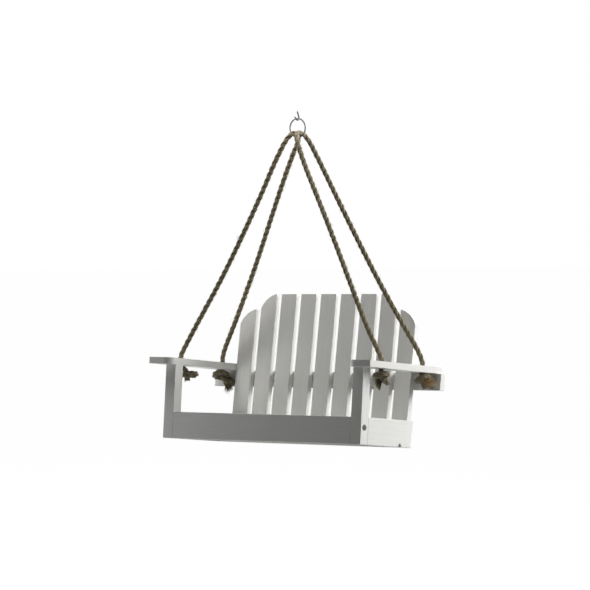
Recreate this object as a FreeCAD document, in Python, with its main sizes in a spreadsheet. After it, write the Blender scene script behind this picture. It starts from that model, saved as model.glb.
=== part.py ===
"""Small hanging porch swing: a slatted wooden seat on two ropes, one ring and one hook.

Units are millimetres and degrees, +Z is up and the origin is the top end of the hanging hook.
The seat is laid out square in its own seat frame: X = 0 on its middle, Y = 0 on the front faces
of the posts, Z = 0 under the boards. It then hangs from the ring, leaning back by seat_pitch,
which puts its centre of mass straight below the ring.
"""

import FreeCAD
import Part
import Sketcher
import math
import os

from FreeCAD import Placement, Rotation, Vector

SIZES = {
    # Overall sizes of the seat
    "seat_width": 320.0,
    "seat_pitch": -6.443,
    # Front posts, apron, side boards and rear rail
    "post_width": 16.0,
    "post_depth": 16.0,
    "post_height": 98.0,
    "board_height": 35.0,
    "board_thickness": 10.0,
    "side_board_length": 93.0,
    "rail_thickness": 18.0,
    "rail_inset": 7.0,
    # Seat boards on their cleats
    "seat_board_width": 25.0,
    "seat_board_thickness": 8.6,
    "seat_board_drop": 2.0,
    "cleat_size": 12.0,
    # Back slats and the crossbar behind them
    "slat_width": 24.8,
    "slat_thickness": 8.6,
    "slat_side_gap": 0.4,
    "slat_length": 198.0,
    "slat_step": 21.0,
    "slat_corner": 22.0,
    "slat_foot": 4.0,
    "slat_recline": 4.2,
    "crossbar_height": 22.0,
    "crossbar_thickness": 10.0,
    "crossbar_overhang": 6.0,
    # Arms
    "arm_width": 35.0,
    "arm_thickness": 8.6,
    "arm_front": 12.5,
    "arm_rear_lip": 0.2,
    "arm_corner": 11.0,
    "edge_bevel": 0.8,
    # Ropes, their holes and their stopper knots
    "rope_diameter": 6.8,
    "rope_hole_play": 2.2,
    "rope_gap": 0.45,
    "rope_inset": 20.0,
    "rope_front": 34.0,
    "rope_rear": 126.0,
    "rope_rise": 308.0,
    "rope_bend": 9.0,
    "rope_arch": 13.0,
    "knot_girth": 20.0,
    "knot_tail": 17.0,
    "knot_tail_slope": 0.45,
    # Ring and hook
    "ring_wire": 2.0,
    "hang_depth": 54.0,
    "hook_wire": 1.8,
    "hook_drop": 11.6,
    "hook_radius": 3.2,
    "hook_tip": 5.5,
    "hook_tip_rise": 40.0,
    # Screws of the posts, square brads of the boards and round-headed pins of the sides
    "screw_shank": 2.8,
    "screw_head": 5.6,
    "screw_head_height": 1.6,
    "post_screw_length": 34.0,
    "post_screw_height": 21.5,
    "post_counterbore": 6.0,
    "brad_wire": 1.6,
    "brad_head": 3.2,
    "brad_head_height": 1.2,
    "arm_brad_length": 24.0,
    "foot_brad_length": 20.0,
    "brad_point_cover": 3.0,
    "cleat_brad_length": 15.0,
    "pin_head": 4.2,
    "pin_head_height": 1.2,
    "pin_length": 8.0,
    "pin_depth": 88.0,
    "pin_height": 2.3,
    # Clearances
    "fit_gap": 0.3,
    "bore_gap": 0.1,
}

ROPE_SIDES = {"left": -1, "right": 1}
SCREW_BORE = "{screw_shank} + 2 * {bore_gap}"
CROSSBAR_REAR = (
    "({post_depth} + {side_board_length} + {rail_thickness}"
    " + ({post_height} - {board_height}) * tan({slat_recline} * 1deg)"
    " + ({slat_thickness} + {crossbar_thickness}) / cos({slat_recline} * 1deg))"
)
ROPE_HOLE = "{rope_diameter} + {rope_hole_play}"
BRAD_HOLE = ("{brad_wire} + 2 * {bore_gap}", "{brad_wire} + 2 * {bore_gap}")
BRAD_SEAT = ("{brad_head} + 2 * {bore_gap}", "{brad_wire} + 2 * {bore_gap}")
CORD_SIDES = 12
SLAT_COUNT = 9
SEAT_BOARD_COUNT = 3
END_PLAY = 1.0

doc = FreeCAD.newDocument("porch_swing")
sheet = doc.addObject("Spreadsheet::Sheet", "Sizes")
nodes = []


def fill_sheet():
    """Write every driving dimension into the sheet as a plain number with an alias."""
    for row, (alias, number) in enumerate(SIZES.items(), start=1):
        sheet.set(f"A{row}", alias)
        sheet.set(f"B{row}", str(number))
        sheet.setAlias(f"B{row}", alias)
    doc.recompute()


def size(alias):
    """The number that the sheet holds under an alias."""
    return float(sheet.get(alias))


def bound(text):
    """Turn words in braces into references to the sheet: {post_width} / 2."""
    return text.replace("{", "Sizes.").replace("}", "")


def keep(label, item):
    """Name an object after its piece and list it for export."""
    item.Label = label
    nodes.append(item)
    return item


def sine(angle):
    return math.sin(math.radians(angle))


def cosine(angle):
    return math.cos(math.radians(angle))


def tangent(angle):
    return math.tan(math.radians(angle))


# Heights and depths that several pieces share, in the seat frame


def half_width():
    return size("seat_width") / 2


def arm_top():
    return size("post_height") + size("arm_thickness")


def rail_front():
    return size("post_depth") + size("side_board_length")


def slat_front(height):
    """Depth of the front face of the back slats at a height above the underside of the boards."""
    rail_rear = rail_front() + size("rail_thickness")
    return rail_rear + (height - size("board_height")) * tangent(size("slat_recline"))


def slat_rear(height):
    return slat_front(height) + size("slat_thickness") / cosine(size("slat_recline"))


def hole_middle():
    """Distance of the rope holes from the middle of the seat."""
    inner_edge = half_width() - size("post_width")
    return inner_edge + size("rope_inset")


def rope_spread():
    """Angle from the vertical at which each rope leaves the ring sideways."""
    return math.degrees(math.atan2(hole_middle(), size("rope_rise")))


def rope_lift():
    """Height of a rope's middle line above the middle line of the ring's wire, where it lies on it."""
    return size("ring_wire") / 2 + size("fit_gap") + size("rope_diameter") / 2


def ring_radius():
    """Radius of the middle line of the ring's wire: both ropes fit in the ring side by side."""
    room = (size("rope_diameter") + size("rope_gap")) / 2
    return rope_lift() + room / sine(rope_spread())


def ring_height():
    """Height of the ring's centre in the hanging frame, below the top of the hook."""
    inner_top = ring_radius() - size("ring_wire") / 2
    return -size("hook_drop") - (inner_top - size("hook_wire") / 2 - size("fit_gap"))


def swing_axis():
    """Point of the swing axis in the hanging frame: where the ropes ride on the ring's wire."""
    return Vector(0, 0, ring_height() - ring_radius() * cosine(rope_spread()))


def swing_axis_in_seat():
    """The same point in the seat frame."""
    height = arm_top() + size("rope_rise") - ring_radius() * cosine(rope_spread())
    return Vector(0, size("hang_depth"), height)


def seat_frame():
    """Placement of the square seat frame in the hanging frame."""
    lean = Rotation(Vector(1, 0, 0), size("seat_pitch"))
    return Placement(swing_axis() - lean.multVec(swing_axis_in_seat()), lean)


def seat_place(x, y, z, rotation=None):
    """Placement of a piece whose own origin is at x, y, z of the seat frame."""
    return seat_frame().multiply(Placement(Vector(x, y, z), rotation or Rotation()))


# Parametric building blocks


def new_sketch(body, plane):
    """An empty sketch on one of the body's own origin planes."""
    sketch = body.newObject("Sketcher::SketchObject", "Outline")
    origin = next(item for item in body.Origin.OriginFeatures if item.Role == plane)
    sketch.AttachmentSupport = (origin, [""])
    sketch.MapMode = "FlatFace"
    return sketch


def outline(sketch, points):
    """Join points by straight lines into a closed chain, and return how many there are."""
    for start, end in zip(points, points[1:] + points[:1]):
        sketch.addGeometry(Part.LineSegment(Vector(*start, 0), Vector(*end, 0)), False)
    count = len(points)
    for line in range(count):
        sketch.addConstraint(Sketcher.Constraint("Coincident", line, 2, (line + 1) % count, 1))
    return count


def measure(sketch, kind, place, number, expression):
    """Add one dimension to a sketch and bind it to the sheet."""
    index = sketch.addConstraint(Sketcher.Constraint(kind, *place, number))
    sketch.setExpression(f"Constraints[{index}]", bound(expression))


def rectangle(sketch, width, height):
    """A rectangle from the sketch's origin, with its two sizes bound to the sheet."""
    outline(sketch, [(0, 0), (30, 0), (30, 20), (0, 20)])
    for line, kind in enumerate(["Horizontal", "Vertical", "Horizontal", "Vertical"]):
        sketch.addConstraint(Sketcher.Constraint(kind, line))
    sketch.addConstraint(Sketcher.Constraint("Coincident", 0, 1, -1, 1))
    measure(sketch, "DistanceX", (0, 1, 0, 2), 30.0, width)
    measure(sketch, "DistanceY", (1, 1, 1, 2), 20.0, height)


def pad(body, sketch, length):
    """Extrude a sketch along its normal by a bound length."""
    feature = body.newObject("PartDesign::Pad", "Pad")
    feature.Profile = sketch
    feature.setExpression("Length", bound(length))
    doc.recompute()
    return feature


def new_board(label, width, depth, height):
    """A board with one corner on its own origin: sizes along X, Y and Z as bound expressions."""
    body = keep(label, doc.addObject("PartDesign::Body", label))
    sketch = new_sketch(body, "XY_Plane")
    rectangle(sketch, width, depth)
    pad(body, sketch, height)
    return body


def ease_edges(body, choose):
    """Chamfer the edges of the body's last feature that the test picks."""
    tip = body.Tip
    names = [f"Edge{i}" for i, edge in enumerate(tip.Shape.Edges, start=1) if choose(edge)]
    feature = body.newObject("PartDesign::Chamfer", "Eased")
    feature.Base = (tip, names)
    feature.setExpression("Size", bound("{edge_bevel}"))
    doc.recompute()


def runs_along(edge, axis):
    """Whether an edge is straight and parallel to an axis."""
    direction = edge.tangentAt(edge.FirstParameter)
    return isinstance(edge.Curve, Part.Line) and abs(direction.dot(axis)) > 0.999


def lies_at(edge, height):
    """Whether all of an edge's ends are at a height of the body."""
    return all(abs(vertex.Z - height) < 0.01 for vertex in edge.Vertexes)


def round_mouth(sketch, diameter):
    """A circle round the sketch's origin, with its diameter bound to the sheet."""
    sketch.addGeometry(Part.Circle(Vector(0, 0, 0), Vector(0, 0, 1), 1.0), False)
    sketch.addConstraint(Sketcher.Constraint("Coincident", 0, 3, -1, 1))
    measure(sketch, "Diameter", (0,), 2.0, diameter)


def square_mouth(sketch, width, height):
    """A rectangle round the sketch's origin, with its two sizes bound to the sheet."""
    outline(sketch, [(-1, -1), (1, -1), (1, 1), (-1, 1)])
    for line, kind in enumerate(["Horizontal", "Vertical", "Horizontal", "Vertical"]):
        sketch.addConstraint(Sketcher.Constraint(kind, line))
    sketch.addConstraint(Sketcher.Constraint("Symmetric", 0, 1, 1, 2, -1, 1))
    measure(sketch, "DistanceX", (0, 1, 0, 2), 2.0, width)
    measure(sketch, "DistanceY", (1, 1, 1, 2), 2.0, height)


def drill(body, plane, at, mouth, start, depth, forward=False, tilt=0.0):
    """Cut one hole into a body and check that it cuts.

    The mouth is a diameter, or a width and a height. The hole's axis goes through the point at,
    in the plane's own coordinates, and is tilted about the plane's X. It starts the distance
    start from there and runs back, or forward.
    """
    before = body.Shape.Volume
    lean = Rotation(Vector(1, 0, 0), tilt)
    sketch = new_sketch(body, plane)
    sketch.AttachmentOffset = Placement(Vector(*at) + lean.multVec(Vector(0, 0, start)), lean)
    if isinstance(mouth, str):
        round_mouth(sketch, mouth)
    else:
        square_mouth(sketch, *mouth)
    pocket = body.newObject("PartDesign::Pocket", "Bore")
    pocket.Profile = sketch
    pocket.Length = depth
    pocket.Reversed = forward
    doc.recompute()
    if body.Shape.Volume > before - 0.1:
        raise ValueError(f"{body.Label}: a hole cuts nothing")


def turned(points):
    """The solid of revolution about Z of a closed chain of straight lines."""
    edges = [Part.LineSegment(a, b).toShape() for a, b in zip(points, points[1:] + points[:1])]
    face = Part.Face(Part.Wire(edges))
    return face.revolve(Vector(0, 0, 0), Vector(0, 0, 1), 360)


def screw_solid(length):
    """One wood screw along -Z with the flat top of its head on Z = 0."""
    head = size("screw_head") / 2
    rim = size("screw_head_height")
    shank = size("screw_shank") / 2
    points = [
        Vector(0, 0, 0),
        Vector(head, 0, 0),
        Vector(head, 0, -rim),
        Vector(shank, 0, -rim),
        Vector(shank, 0, -length),
        Vector(0, 0, -length),
    ]
    return turned(points)


def brad_solid(length):
    """One square brad along -Z with the flat top of its wide head on Z = 0."""
    half = size("brad_wire") / 2
    wide = size("brad_head") / 2
    rim = size("brad_head_height")
    head = Part.makeBox(2 * wide, 2 * half, rim, Vector(-wide, -half, -rim))
    shank = Part.makeBox(2 * half, 2 * half, length - rim, Vector(-half, -half, -length))
    return head.fuse(shank).removeSplitter()


def pin_solid(length):
    """One pin along -Z whose round head lies on the surface at Z = 0."""
    half = size("brad_wire") / 2
    head = Part.makeCylinder(size("pin_head") / 2, size("pin_head_height"))
    shank = Part.makeBox(2 * half, 2 * half, length, Vector(-half, -half, -length))
    return head.fuse(shank).removeSplitter()


def fastener_group(label, make_solid, length, spots):
    """A node with one fastener at each spot: a point of the seat frame and the way it points."""
    down = Vector(0, 0, -1)
    fasteners = []
    for point, heading in spots:
        fastener = make_solid(length)
        fastener.Placement = Placement(point, Rotation(down, heading))
        fasteners.append(fastener)
    group = keep(label, doc.addObject("Part::Feature", label))
    group.Shape = Part.Compound(fasteners)
    group.Placement = seat_frame()


# Frame of the seat


def arm_brad_depth():
    """Depth of the rear arm brads, on the middle of the crossbar's top."""
    thickness = size("crossbar_thickness") / cosine(size("slat_recline"))
    return slat_rear(size("post_height")) + thickness / 2


def make_post(side, sign):
    """One front post, counterbored on its outer side and cut on top for the arm's brad."""
    body = new_board(f"front_post_{side}", "{post_width}", "{post_depth}", "{post_height}")
    ease_edges(body, lambda edge: runs_along(edge, Vector(0, 0, 1)))
    width = size("post_width")
    middle = size("post_depth") / 2
    outer = width if sign > 0 else 0.0
    at = (middle, size("post_screw_height"))
    drill(body, "YZ_Plane", at, SCREW_BORE, outer, width, forward=sign < 0)
    head = "{screw_head} + 2 * {fit_gap}"
    drill(body, "YZ_Plane", at, head, outer, size("post_counterbore"), forward=sign < 0)
    depth = size("arm_brad_length") - size("arm_thickness") + END_PLAY
    drill(body, "XY_Plane", (width / 2, middle), BRAD_HOLE, size("post_height"), depth)
    body.Placement = seat_place(sign * (half_width() - width / 2) - width / 2, 0, 0)


def make_apron():
    """The front board between the posts, flush with their front faces."""
    length = "{seat_width} - 2 * {post_width}"
    body = new_board("front_apron", length, "{board_thickness}", "{board_height}")
    ease_edges(body, lambda edge: runs_along(edge, Vector(1, 0, 0)))
    span = size("seat_width") - 2 * size("post_width")
    at = (size("post_depth") / 2, size("post_screw_height"))
    seated = size("post_width") - size("post_counterbore")
    depth = size("post_screw_length") - seated - size("screw_head_height") + END_PLAY
    drill(body, "YZ_Plane", at, SCREW_BORE, 0.0, depth, forward=True)
    drill(body, "YZ_Plane", at, SCREW_BORE, span, depth)
    body.Placement = seat_place(-span / 2, 0, 0)


def make_side_board(side, sign):
    """One side board behind a post, flush with the post's outer face."""
    body = new_board(f"side_board_{side}", "{board_thickness}", "{side_board_length}", "{board_height}")
    ease_edges(body, lambda edge: runs_along(edge, Vector(0, 1, 0)))
    at = (size("pin_depth") - size("post_depth"), size("pin_height"))
    outer = size("board_thickness") if sign > 0 else 0.0
    depth = size("pin_length") + END_PLAY
    drill(body, "YZ_Plane", at, BRAD_HOLE, outer, depth, forward=sign < 0)
    middle = sign * (half_width() - size("board_thickness") / 2)
    body.Placement = seat_place(middle - size("board_thickness") / 2, size("post_depth"), 0)


def slanted_board(label, front_slants, length, thickness, height):
    """A board along X whose rear face, and if asked its front face, leans back with the slats."""
    body = keep(label, doc.addObject("PartDesign::Body", label))
    sketch = new_sketch(body, "YZ_Plane")
    outline(sketch, [(0, 0), (12, 0), (14, 20), (1 if front_slants else 0, 20)])
    sketch.addConstraint(Sketcher.Constraint("Coincident", 0, 1, -1, 1))
    sketch.addConstraint(Sketcher.Constraint("Horizontal", 0))
    sketch.addConstraint(Sketcher.Constraint("Horizontal", 2))
    if front_slants:
        sketch.addConstraint(Sketcher.Constraint("Parallel", 1, 3))
    else:
        sketch.addConstraint(Sketcher.Constraint("Vertical", 3))
    measure(sketch, "DistanceY", (1, 1, 1, 2), 20.0, height)
    measure(sketch, "DistanceX", (1, 1, 1, 2), 2.0, f"{height} * tan({{slat_recline}} * 1deg)")
    measure(sketch, "DistanceX", (2, 2, 2, 1), 12.0, thickness)
    pad(body, sketch, length)
    ease_edges(body, lambda edge: runs_along(edge, Vector(1, 0, 0)))
    return body


def slat_middles():
    """Distances of the back slats from the middle of the seat, left to right."""
    middle = (SLAT_COUNT - 1) / 2
    outermost = half_width() - size("post_width") - size("slat_side_gap") - size("slat_width") / 2
    return [(index - middle) / middle * outermost for index in range(SLAT_COUNT)]


def foot_brad_height():
    return size("board_height") / 2


def crossbar_brad_height():
    return size("post_height") - size("crossbar_height") / 2


def make_rear_rail():
    """The rail across the rear ends of the side boards and cleats, which carries the slats' feet."""
    length = "{seat_width} - 2 * {rail_inset}"
    body = slanted_board("rear_rail", False, length, "{rail_thickness}", "{board_height}")
    half_length = half_width() - size("rail_inset")
    height = foot_brad_height()
    depth = size("foot_brad_length") + END_PLAY
    for middle in slat_middles():
        at = (middle + half_length, height, rail_front() - slat_rear(height))
        drill(body, "XZ_Plane", at, BRAD_HOLE, 0.0, depth, forward=True, tilt=-size("slat_recline"))
    body.Placement = seat_place(-half_length, rail_front(), 0)


def crossbar_brad_length():
    """These brads stop short of the slats' front faces."""
    return size("crossbar_thickness") + size("slat_thickness") - size("brad_point_cover")


def make_crossbar():
    """The bar behind the slats, which sticks out under the rear ends of both arms."""
    length = "{seat_width} - 2 * {post_width} + 2 * {arm_width} + 2 * {crossbar_overhang}"
    depth = "{crossbar_thickness} / cos({slat_recline} * 1deg)"
    body = slanted_board("back_crossbar", True, length, depth, "{crossbar_height}")
    span = size("seat_width") - 2 * size("post_width") + 2 * size("arm_width")
    span += 2 * size("crossbar_overhang")
    bottom = size("post_height") - size("crossbar_height")
    front = slat_rear(bottom)
    height = crossbar_brad_height()
    through = size("crossbar_thickness") + END_PLAY
    lean = -size("slat_recline")
    for middle in slat_middles():
        at = (middle + span / 2, height - bottom, front - slat_rear(height))
        drill(body, "XZ_Plane", at, BRAD_HOLE, END_PLAY, through + END_PLAY, tilt=lean)
        sink = size("brad_head_height") + END_PLAY
        drill(body, "XZ_Plane", at, BRAD_SEAT, -through, sink, forward=True, tilt=lean)
    for sign in ROPE_SIDES.values():
        at = (sign * hole_middle() + span / 2, arm_brad_depth() - front)
        depth = size("arm_brad_length") - size("arm_thickness") + END_PLAY
        drill(body, "XY_Plane", at, BRAD_HOLE, size("crossbar_height"), depth)
    body.Placement = seat_place(-span / 2, front, bottom)


# Seat boards


def seat_board_bottom():
    return size("board_height") - size("seat_board_drop") - size("seat_board_thickness")


def seat_board_middles():
    """Depths of the middle lines of the seat boards, evenly spread between posts and rail."""
    front = size("post_depth")
    space = rail_front() - front
    gap = (space - SEAT_BOARD_COUNT * size("seat_board_width")) / (SEAT_BOARD_COUNT + 1)
    step = size("seat_board_width") + gap
    return [front + gap + size("seat_board_width") / 2 + index * step for index in range(SEAT_BOARD_COUNT)]


def cleat_middle():
    """Distance of the cleats' middle lines from the middle of the seat."""
    return half_width() - size("board_thickness") - size("cleat_size") / 2


def make_cleat(side, sign):
    """The strip inside a side board on which the seat boards lie."""
    body = new_board(f"seat_cleat_{side}", "{cleat_size}", "{side_board_length}", "{cleat_size}")
    half = size("cleat_size") / 2
    depth = size("cleat_brad_length") - size("seat_board_thickness") + END_PLAY
    for middle in seat_board_middles():
        at = (half, middle - size("post_depth"))
        drill(body, "XY_Plane", at, BRAD_HOLE, size("cleat_size"), depth)
    left = sign * cleat_middle() - half
    body.Placement = seat_place(left, size("post_depth"), seat_board_bottom() - size("cleat_size"))


def make_seat_board(index, middle):
    """One seat board from side board to side board, behind the posts."""
    length = "{seat_width} - 2 * {board_thickness} - 2 * {fit_gap}"
    label = f"seat_board_{index}"
    body = new_board(label, length, "{seat_board_width}", "{seat_board_thickness}")
    front = middle - size("seat_board_width") / 2
    span = size("seat_width") - 2 * size("board_thickness") - 2 * size("fit_gap")
    ease_edges(body, lambda edge: runs_along(edge, Vector(1, 0, 0)))
    top = size("seat_board_thickness")
    for sign in ROPE_SIDES.values():
        at = (span / 2 + sign * cleat_middle(), size("seat_board_width") / 2)
        drill(body, "XY_Plane", at, BRAD_HOLE, top, top + END_PLAY)
        drill(body, "XY_Plane", at, BRAD_SEAT, top, size("brad_head_height"))
    body.Placement = seat_place(-span / 2, front, seat_board_bottom())


# Back slats


def slat_rotation():
    """Stands a slat up: its length leans back, its thickness grows towards the front."""
    return Rotation(Vector(1, 0, 0), 90 - size("slat_recline"))


def straight_slat(body, length):
    sketch = new_sketch(body, "XY_Plane")
    rectangle(sketch, "{slat_width}", length)
    pad(body, sketch, "{slat_thickness}")


def rounded_slat(body, length, outer_left):
    """A slat whose outer top corner is cut by a large arc, tangent to its edge and its top."""
    sketch = new_sketch(body, "XY_Plane")
    wide, tall, corner = 25.0, 180.0, 22.0
    flip = (lambda x: x) if outer_left else (lambda x: wide - x)
    points = [(flip(wide), 0), (flip(wide), tall), (flip(corner), tall), (flip(0), tall - corner), (flip(0), 0)]
    lines = [(0, 1), (1, 2), (3, 4), (4, 0)]
    for start, end in lines:
        segment = Part.LineSegment(Vector(*points[start], 0), Vector(*points[end], 0))
        sketch.addGeometry(segment, False)
    centre = Vector(flip(corner), tall - corner, 0)
    circle = Part.Circle(centre, Vector(0, 0, 1), corner)
    first, last = (90, 180) if outer_left else (0, 90)
    sketch.addGeometry(Part.ArcOfCircle(circle, math.radians(first), math.radians(last)), False)
    top_end, side_end = (1, 2) if outer_left else (2, 1)
    sketch.addConstraint(Sketcher.Constraint("Coincident", 0, 2, 1, 1))
    sketch.addConstraint(Sketcher.Constraint("Tangent", 1, 2, 4, top_end))
    sketch.addConstraint(Sketcher.Constraint("Tangent", 4, side_end, 2, 1))
    sketch.addConstraint(Sketcher.Constraint("Coincident", 2, 2, 3, 1))
    sketch.addConstraint(Sketcher.Constraint("Coincident", 3, 2, 0, 1))
    sketch.addConstraint(Sketcher.Constraint("Vertical", 0))
    sketch.addConstraint(Sketcher.Constraint("Vertical", 2))
    sketch.addConstraint(Sketcher.Constraint("Horizontal", 1))
    sketch.addConstraint(Sketcher.Constraint("Horizontal", 3))
    left_end = (3, 1) if outer_left else (3, 2)
    sketch.addConstraint(Sketcher.Constraint("Coincident", *left_end, -1, 1))
    right_end = (3, 2) if outer_left else (3, 1)
    measure(sketch, "DistanceX", (*left_end, *right_end), wide, "{slat_width}")
    measure(sketch, "DistanceY", (0, 1, 0, 2), tall, length)
    measure(sketch, "Radius", (4,), corner, "{slat_corner}")
    pad(body, sketch, "{slat_thickness}")


def along_slat(height):
    """Distance along a slat from its foot to a height above the underside of the boards."""
    return (height - size("slat_foot")) / cosine(size("slat_recline"))


def make_slat(number, middle):
    """One back slat: the outermost pair is a step shorter, and both outer pairs are rounded."""
    body = keep(f"back_slat_{number}", doc.addObject("PartDesign::Body", f"back_slat_{number}"))
    outermost = number in (1, SLAT_COUNT)
    length = "{slat_length} - {slat_step}" if outermost else "{slat_length}"
    if number <= 2 or number >= SLAT_COUNT - 1:
        rounded_slat(body, length, outer_left=middle < 0)
    else:
        straight_slat(body, length)
    front = size("slat_thickness")
    ease_edges(body, lambda edge: lies_at(edge, front))
    half = size("slat_width") / 2
    foot = (half, along_slat(foot_brad_height()))
    drill(body, "XY_Plane", foot, BRAD_HOLE, front, front)
    drill(body, "XY_Plane", foot, BRAD_SEAT, 0.0, size("brad_head_height"), forward=True)
    bar = (half, along_slat(crossbar_brad_height()))
    depth = size("slat_thickness") - size("brad_point_cover") + END_PLAY
    drill(body, "XY_Plane", bar, BRAD_HOLE, 0.0, depth, forward=True)
    height = size("slat_foot")
    body.Placement = seat_place(middle - half, slat_rear(height), height, slat_rotation())


# Arms


def arm_outline(sketch, inner_right):
    """A long rectangle with one rounded corner, inside at the front; it ends behind the crossbar."""
    wide, long, corner = 35.0, 160.0, 10.0
    flip = (lambda x: x) if inner_right else (lambda x: wide - x)
    points = [(flip(0), long), (flip(0), 0), (flip(wide - corner), 0), (flip(wide), corner), (flip(wide), long)]
    for start, end in [(0, 1), (1, 2), (3, 4), (4, 0)]:
        segment = Part.LineSegment(Vector(*points[start], 0), Vector(*points[end], 0))
        sketch.addGeometry(segment, False)
    circle = Part.Circle(Vector(flip(wide - corner), corner, 0), Vector(0, 0, 1), corner)
    first, last = (270, 360) if inner_right else (180, 270)
    sketch.addGeometry(Part.ArcOfCircle(circle, math.radians(first), math.radians(last)), False)
    front_end, side_end = (1, 2) if inner_right else (2, 1)
    sketch.addConstraint(Sketcher.Constraint("Coincident", 0, 2, 1, 1))
    sketch.addConstraint(Sketcher.Constraint("Tangent", 1, 2, 4, front_end))
    sketch.addConstraint(Sketcher.Constraint("Tangent", 4, side_end, 2, 1))
    sketch.addConstraint(Sketcher.Constraint("Coincident", 2, 2, 3, 1))
    sketch.addConstraint(Sketcher.Constraint("Coincident", 3, 2, 0, 1))
    sketch.addConstraint(Sketcher.Constraint("Vertical", 0))
    sketch.addConstraint(Sketcher.Constraint("Vertical", 2))
    sketch.addConstraint(Sketcher.Constraint("Horizontal", 1))
    sketch.addConstraint(Sketcher.Constraint("Horizontal", 3))
    if inner_right:
        sketch.addConstraint(Sketcher.Constraint("Coincident", 0, 2, -1, 1))
        measure(sketch, "DistanceX", (3, 2, 3, 1), wide, "{arm_width}")
    else:
        sketch.addConstraint(Sketcher.Constraint("PointOnObject", 0, 2, -1))
        sketch.addConstraint(Sketcher.Constraint("PointOnObject", 3, 1, -2))
        measure(sketch, "DistanceX", (3, 1, 3, 2), wide, "{arm_width}")
    measure(sketch, "DistanceY", (0, 2, 0, 1), long, f"{{arm_front}} + {CROSSBAR_REAR} + {{arm_rear_lip}}")
    measure(sketch, "Radius", (4,), corner, "{arm_corner}")


def make_arm(side, sign):
    """One arm on a post and the crossbar, bored for two rope legs and cut for two brads."""
    body = keep(f"arm_{side}", doc.addObject("PartDesign::Body", f"arm_{side}"))
    sketch = new_sketch(body, "XY_Plane")
    arm_outline(sketch, inner_right=sign < 0)
    pad(body, sketch, "{arm_thickness}")
    top = size("arm_thickness")
    ease_edges(body, lambda edge: lies_at(edge, top) or lies_at(edge, 0.0))
    inner = half_width() - size("post_width")
    left = inner if sign > 0 else -inner - size("arm_width")
    across = sign * hole_middle() - left
    for depth in (size("rope_front"), size("rope_rear")):
        at = (across, depth + size("arm_front"))
        drill(body, "XY_Plane", at, ROPE_HOLE, top, top)
    post_middle = sign * (half_width() - size("post_width") / 2) - left
    spots = [(post_middle, size("post_depth") / 2), (across, arm_brad_depth())]
    for x, y in spots:
        at = (x, y + size("arm_front"))
        drill(body, "XY_Plane", at, BRAD_HOLE, top, top)
        drill(body, "XY_Plane", at, BRAD_SEAT, top, size("brad_head_height"))
    body.Placement = seat_place(left, -size("arm_front"), size("post_height"))


# Fasteners


def make_fasteners():
    """The screws, pins and brads of the frame, one node for each kind."""
    inner = half_width() - size("post_counterbore") + size("screw_head_height")
    depth = size("post_depth") / 2
    spots = [(Vector(sign * inner, depth, size("post_screw_height")), Vector(-sign, 0, 0))
             for sign in ROPE_SIDES.values()]
    fastener_group("post_screws", screw_solid, size("post_screw_length"), spots)

    spots = [(Vector(sign * half_width(), size("pin_depth"), size("pin_height")), Vector(-sign, 0, 0))
             for sign in ROPE_SIDES.values()]
    fastener_group("side_pins", pin_solid, size("pin_length"), spots)

    down = Vector(0, 0, -1)
    post_middle = half_width() - size("post_width") / 2
    spots = []
    for sign in ROPE_SIDES.values():
        spots.append((Vector(sign * post_middle, depth, arm_top()), down))
        spots.append((Vector(sign * hole_middle(), arm_brad_depth(), arm_top()), down))
    fastener_group("arm_brads", brad_solid, size("arm_brad_length"), spots)

    top = seat_board_bottom() + size("seat_board_thickness")
    spots = [(Vector(sign * cleat_middle(), middle, top), down)
             for sign in ROPE_SIDES.values() for middle in seat_board_middles()]
    fastener_group("seat_board_brads", brad_solid, size("cleat_brad_length"), spots)


def make_slat_brads():
    """Brads from behind: through the slats' feet into the rail, and through the crossbar."""
    recline = size("slat_recline")
    square = Vector(0, -cosine(recline), sine(recline))
    foot = foot_brad_height()
    along = along_slat(foot)
    height = size("slat_foot")
    base = Vector(0, slat_rear(height), height)
    rise = Vector(0, sine(recline), cosine(recline))
    seat = base + rise * along
    spots = [(Vector(x, seat.y, seat.z), square) for x in slat_middles()]
    fastener_group("slat_foot_brads", brad_solid, size("foot_brad_length"), spots)

    bar = base + rise * along_slat(crossbar_brad_height()) - square * size("crossbar_thickness")
    spots = [(Vector(x, bar.y, bar.z), square) for x in slat_middles()]
    fastener_group("crossbar_brads", brad_solid, crossbar_brad_length(), spots)


# Ring, hook, ropes and knots


def make_ring():
    """The steel ring, upright across the swing, hanging on the hook: its wire has many flat sides."""
    section = doc.addObject("Part::RegularPolygon", "RingSection")
    section.Polygon = CORD_SIDES
    section.setExpression("Circumradius", bound("{ring_wire} / 2"))
    section.Placement = Placement(Vector(ring_radius(), 0, 0), Rotation(Vector(1, 0, 0), 90))
    ring = keep("hanging_ring", doc.addObject("Part::Revolution", "hanging_ring"))
    ring.Source = section
    ring.Axis = Vector(0, 0, 1)
    ring.Angle = 360
    ring.Solid = True
    ring.Placement = Placement(Vector(0, 0, ring_height()), Rotation(Vector(1, 0, 0), 90))


def polygon(centre, heading, radius):
    """The corners of a regular polygon, square to a heading, each a radius from its centre."""
    turn = Rotation(Vector(0, 0, 1), heading)
    corners = []
    for corner in range(CORD_SIDES):
        angle = 360 * corner / CORD_SIDES
        corners.append(centre + turn.multVec(Vector(cosine(angle), sine(angle), 0) * radius))
    return corners


def closed_wire(corners):
    """The wire round a chain of corners."""
    return Part.makePolygon(corners + corners[:1])


def faceted_solid(outlines):
    """The flat-sided solid between outlines that follow each other, each with as many corners."""
    faces = [Part.Face(closed_wire(corners)) for corners in (outlines[0], outlines[-1])]
    for low, high in zip(outlines, outlines[1:]):
        for corner, start in enumerate(low):
            after = (corner + 1) % len(low)
            faces.append(Part.Face(closed_wire([start, low[after], high[after], high[corner]])))
    solid = Part.Solid(Part.Shell(faces))
    if solid.Volume < 0:
        solid.reverse()
    return solid


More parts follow.
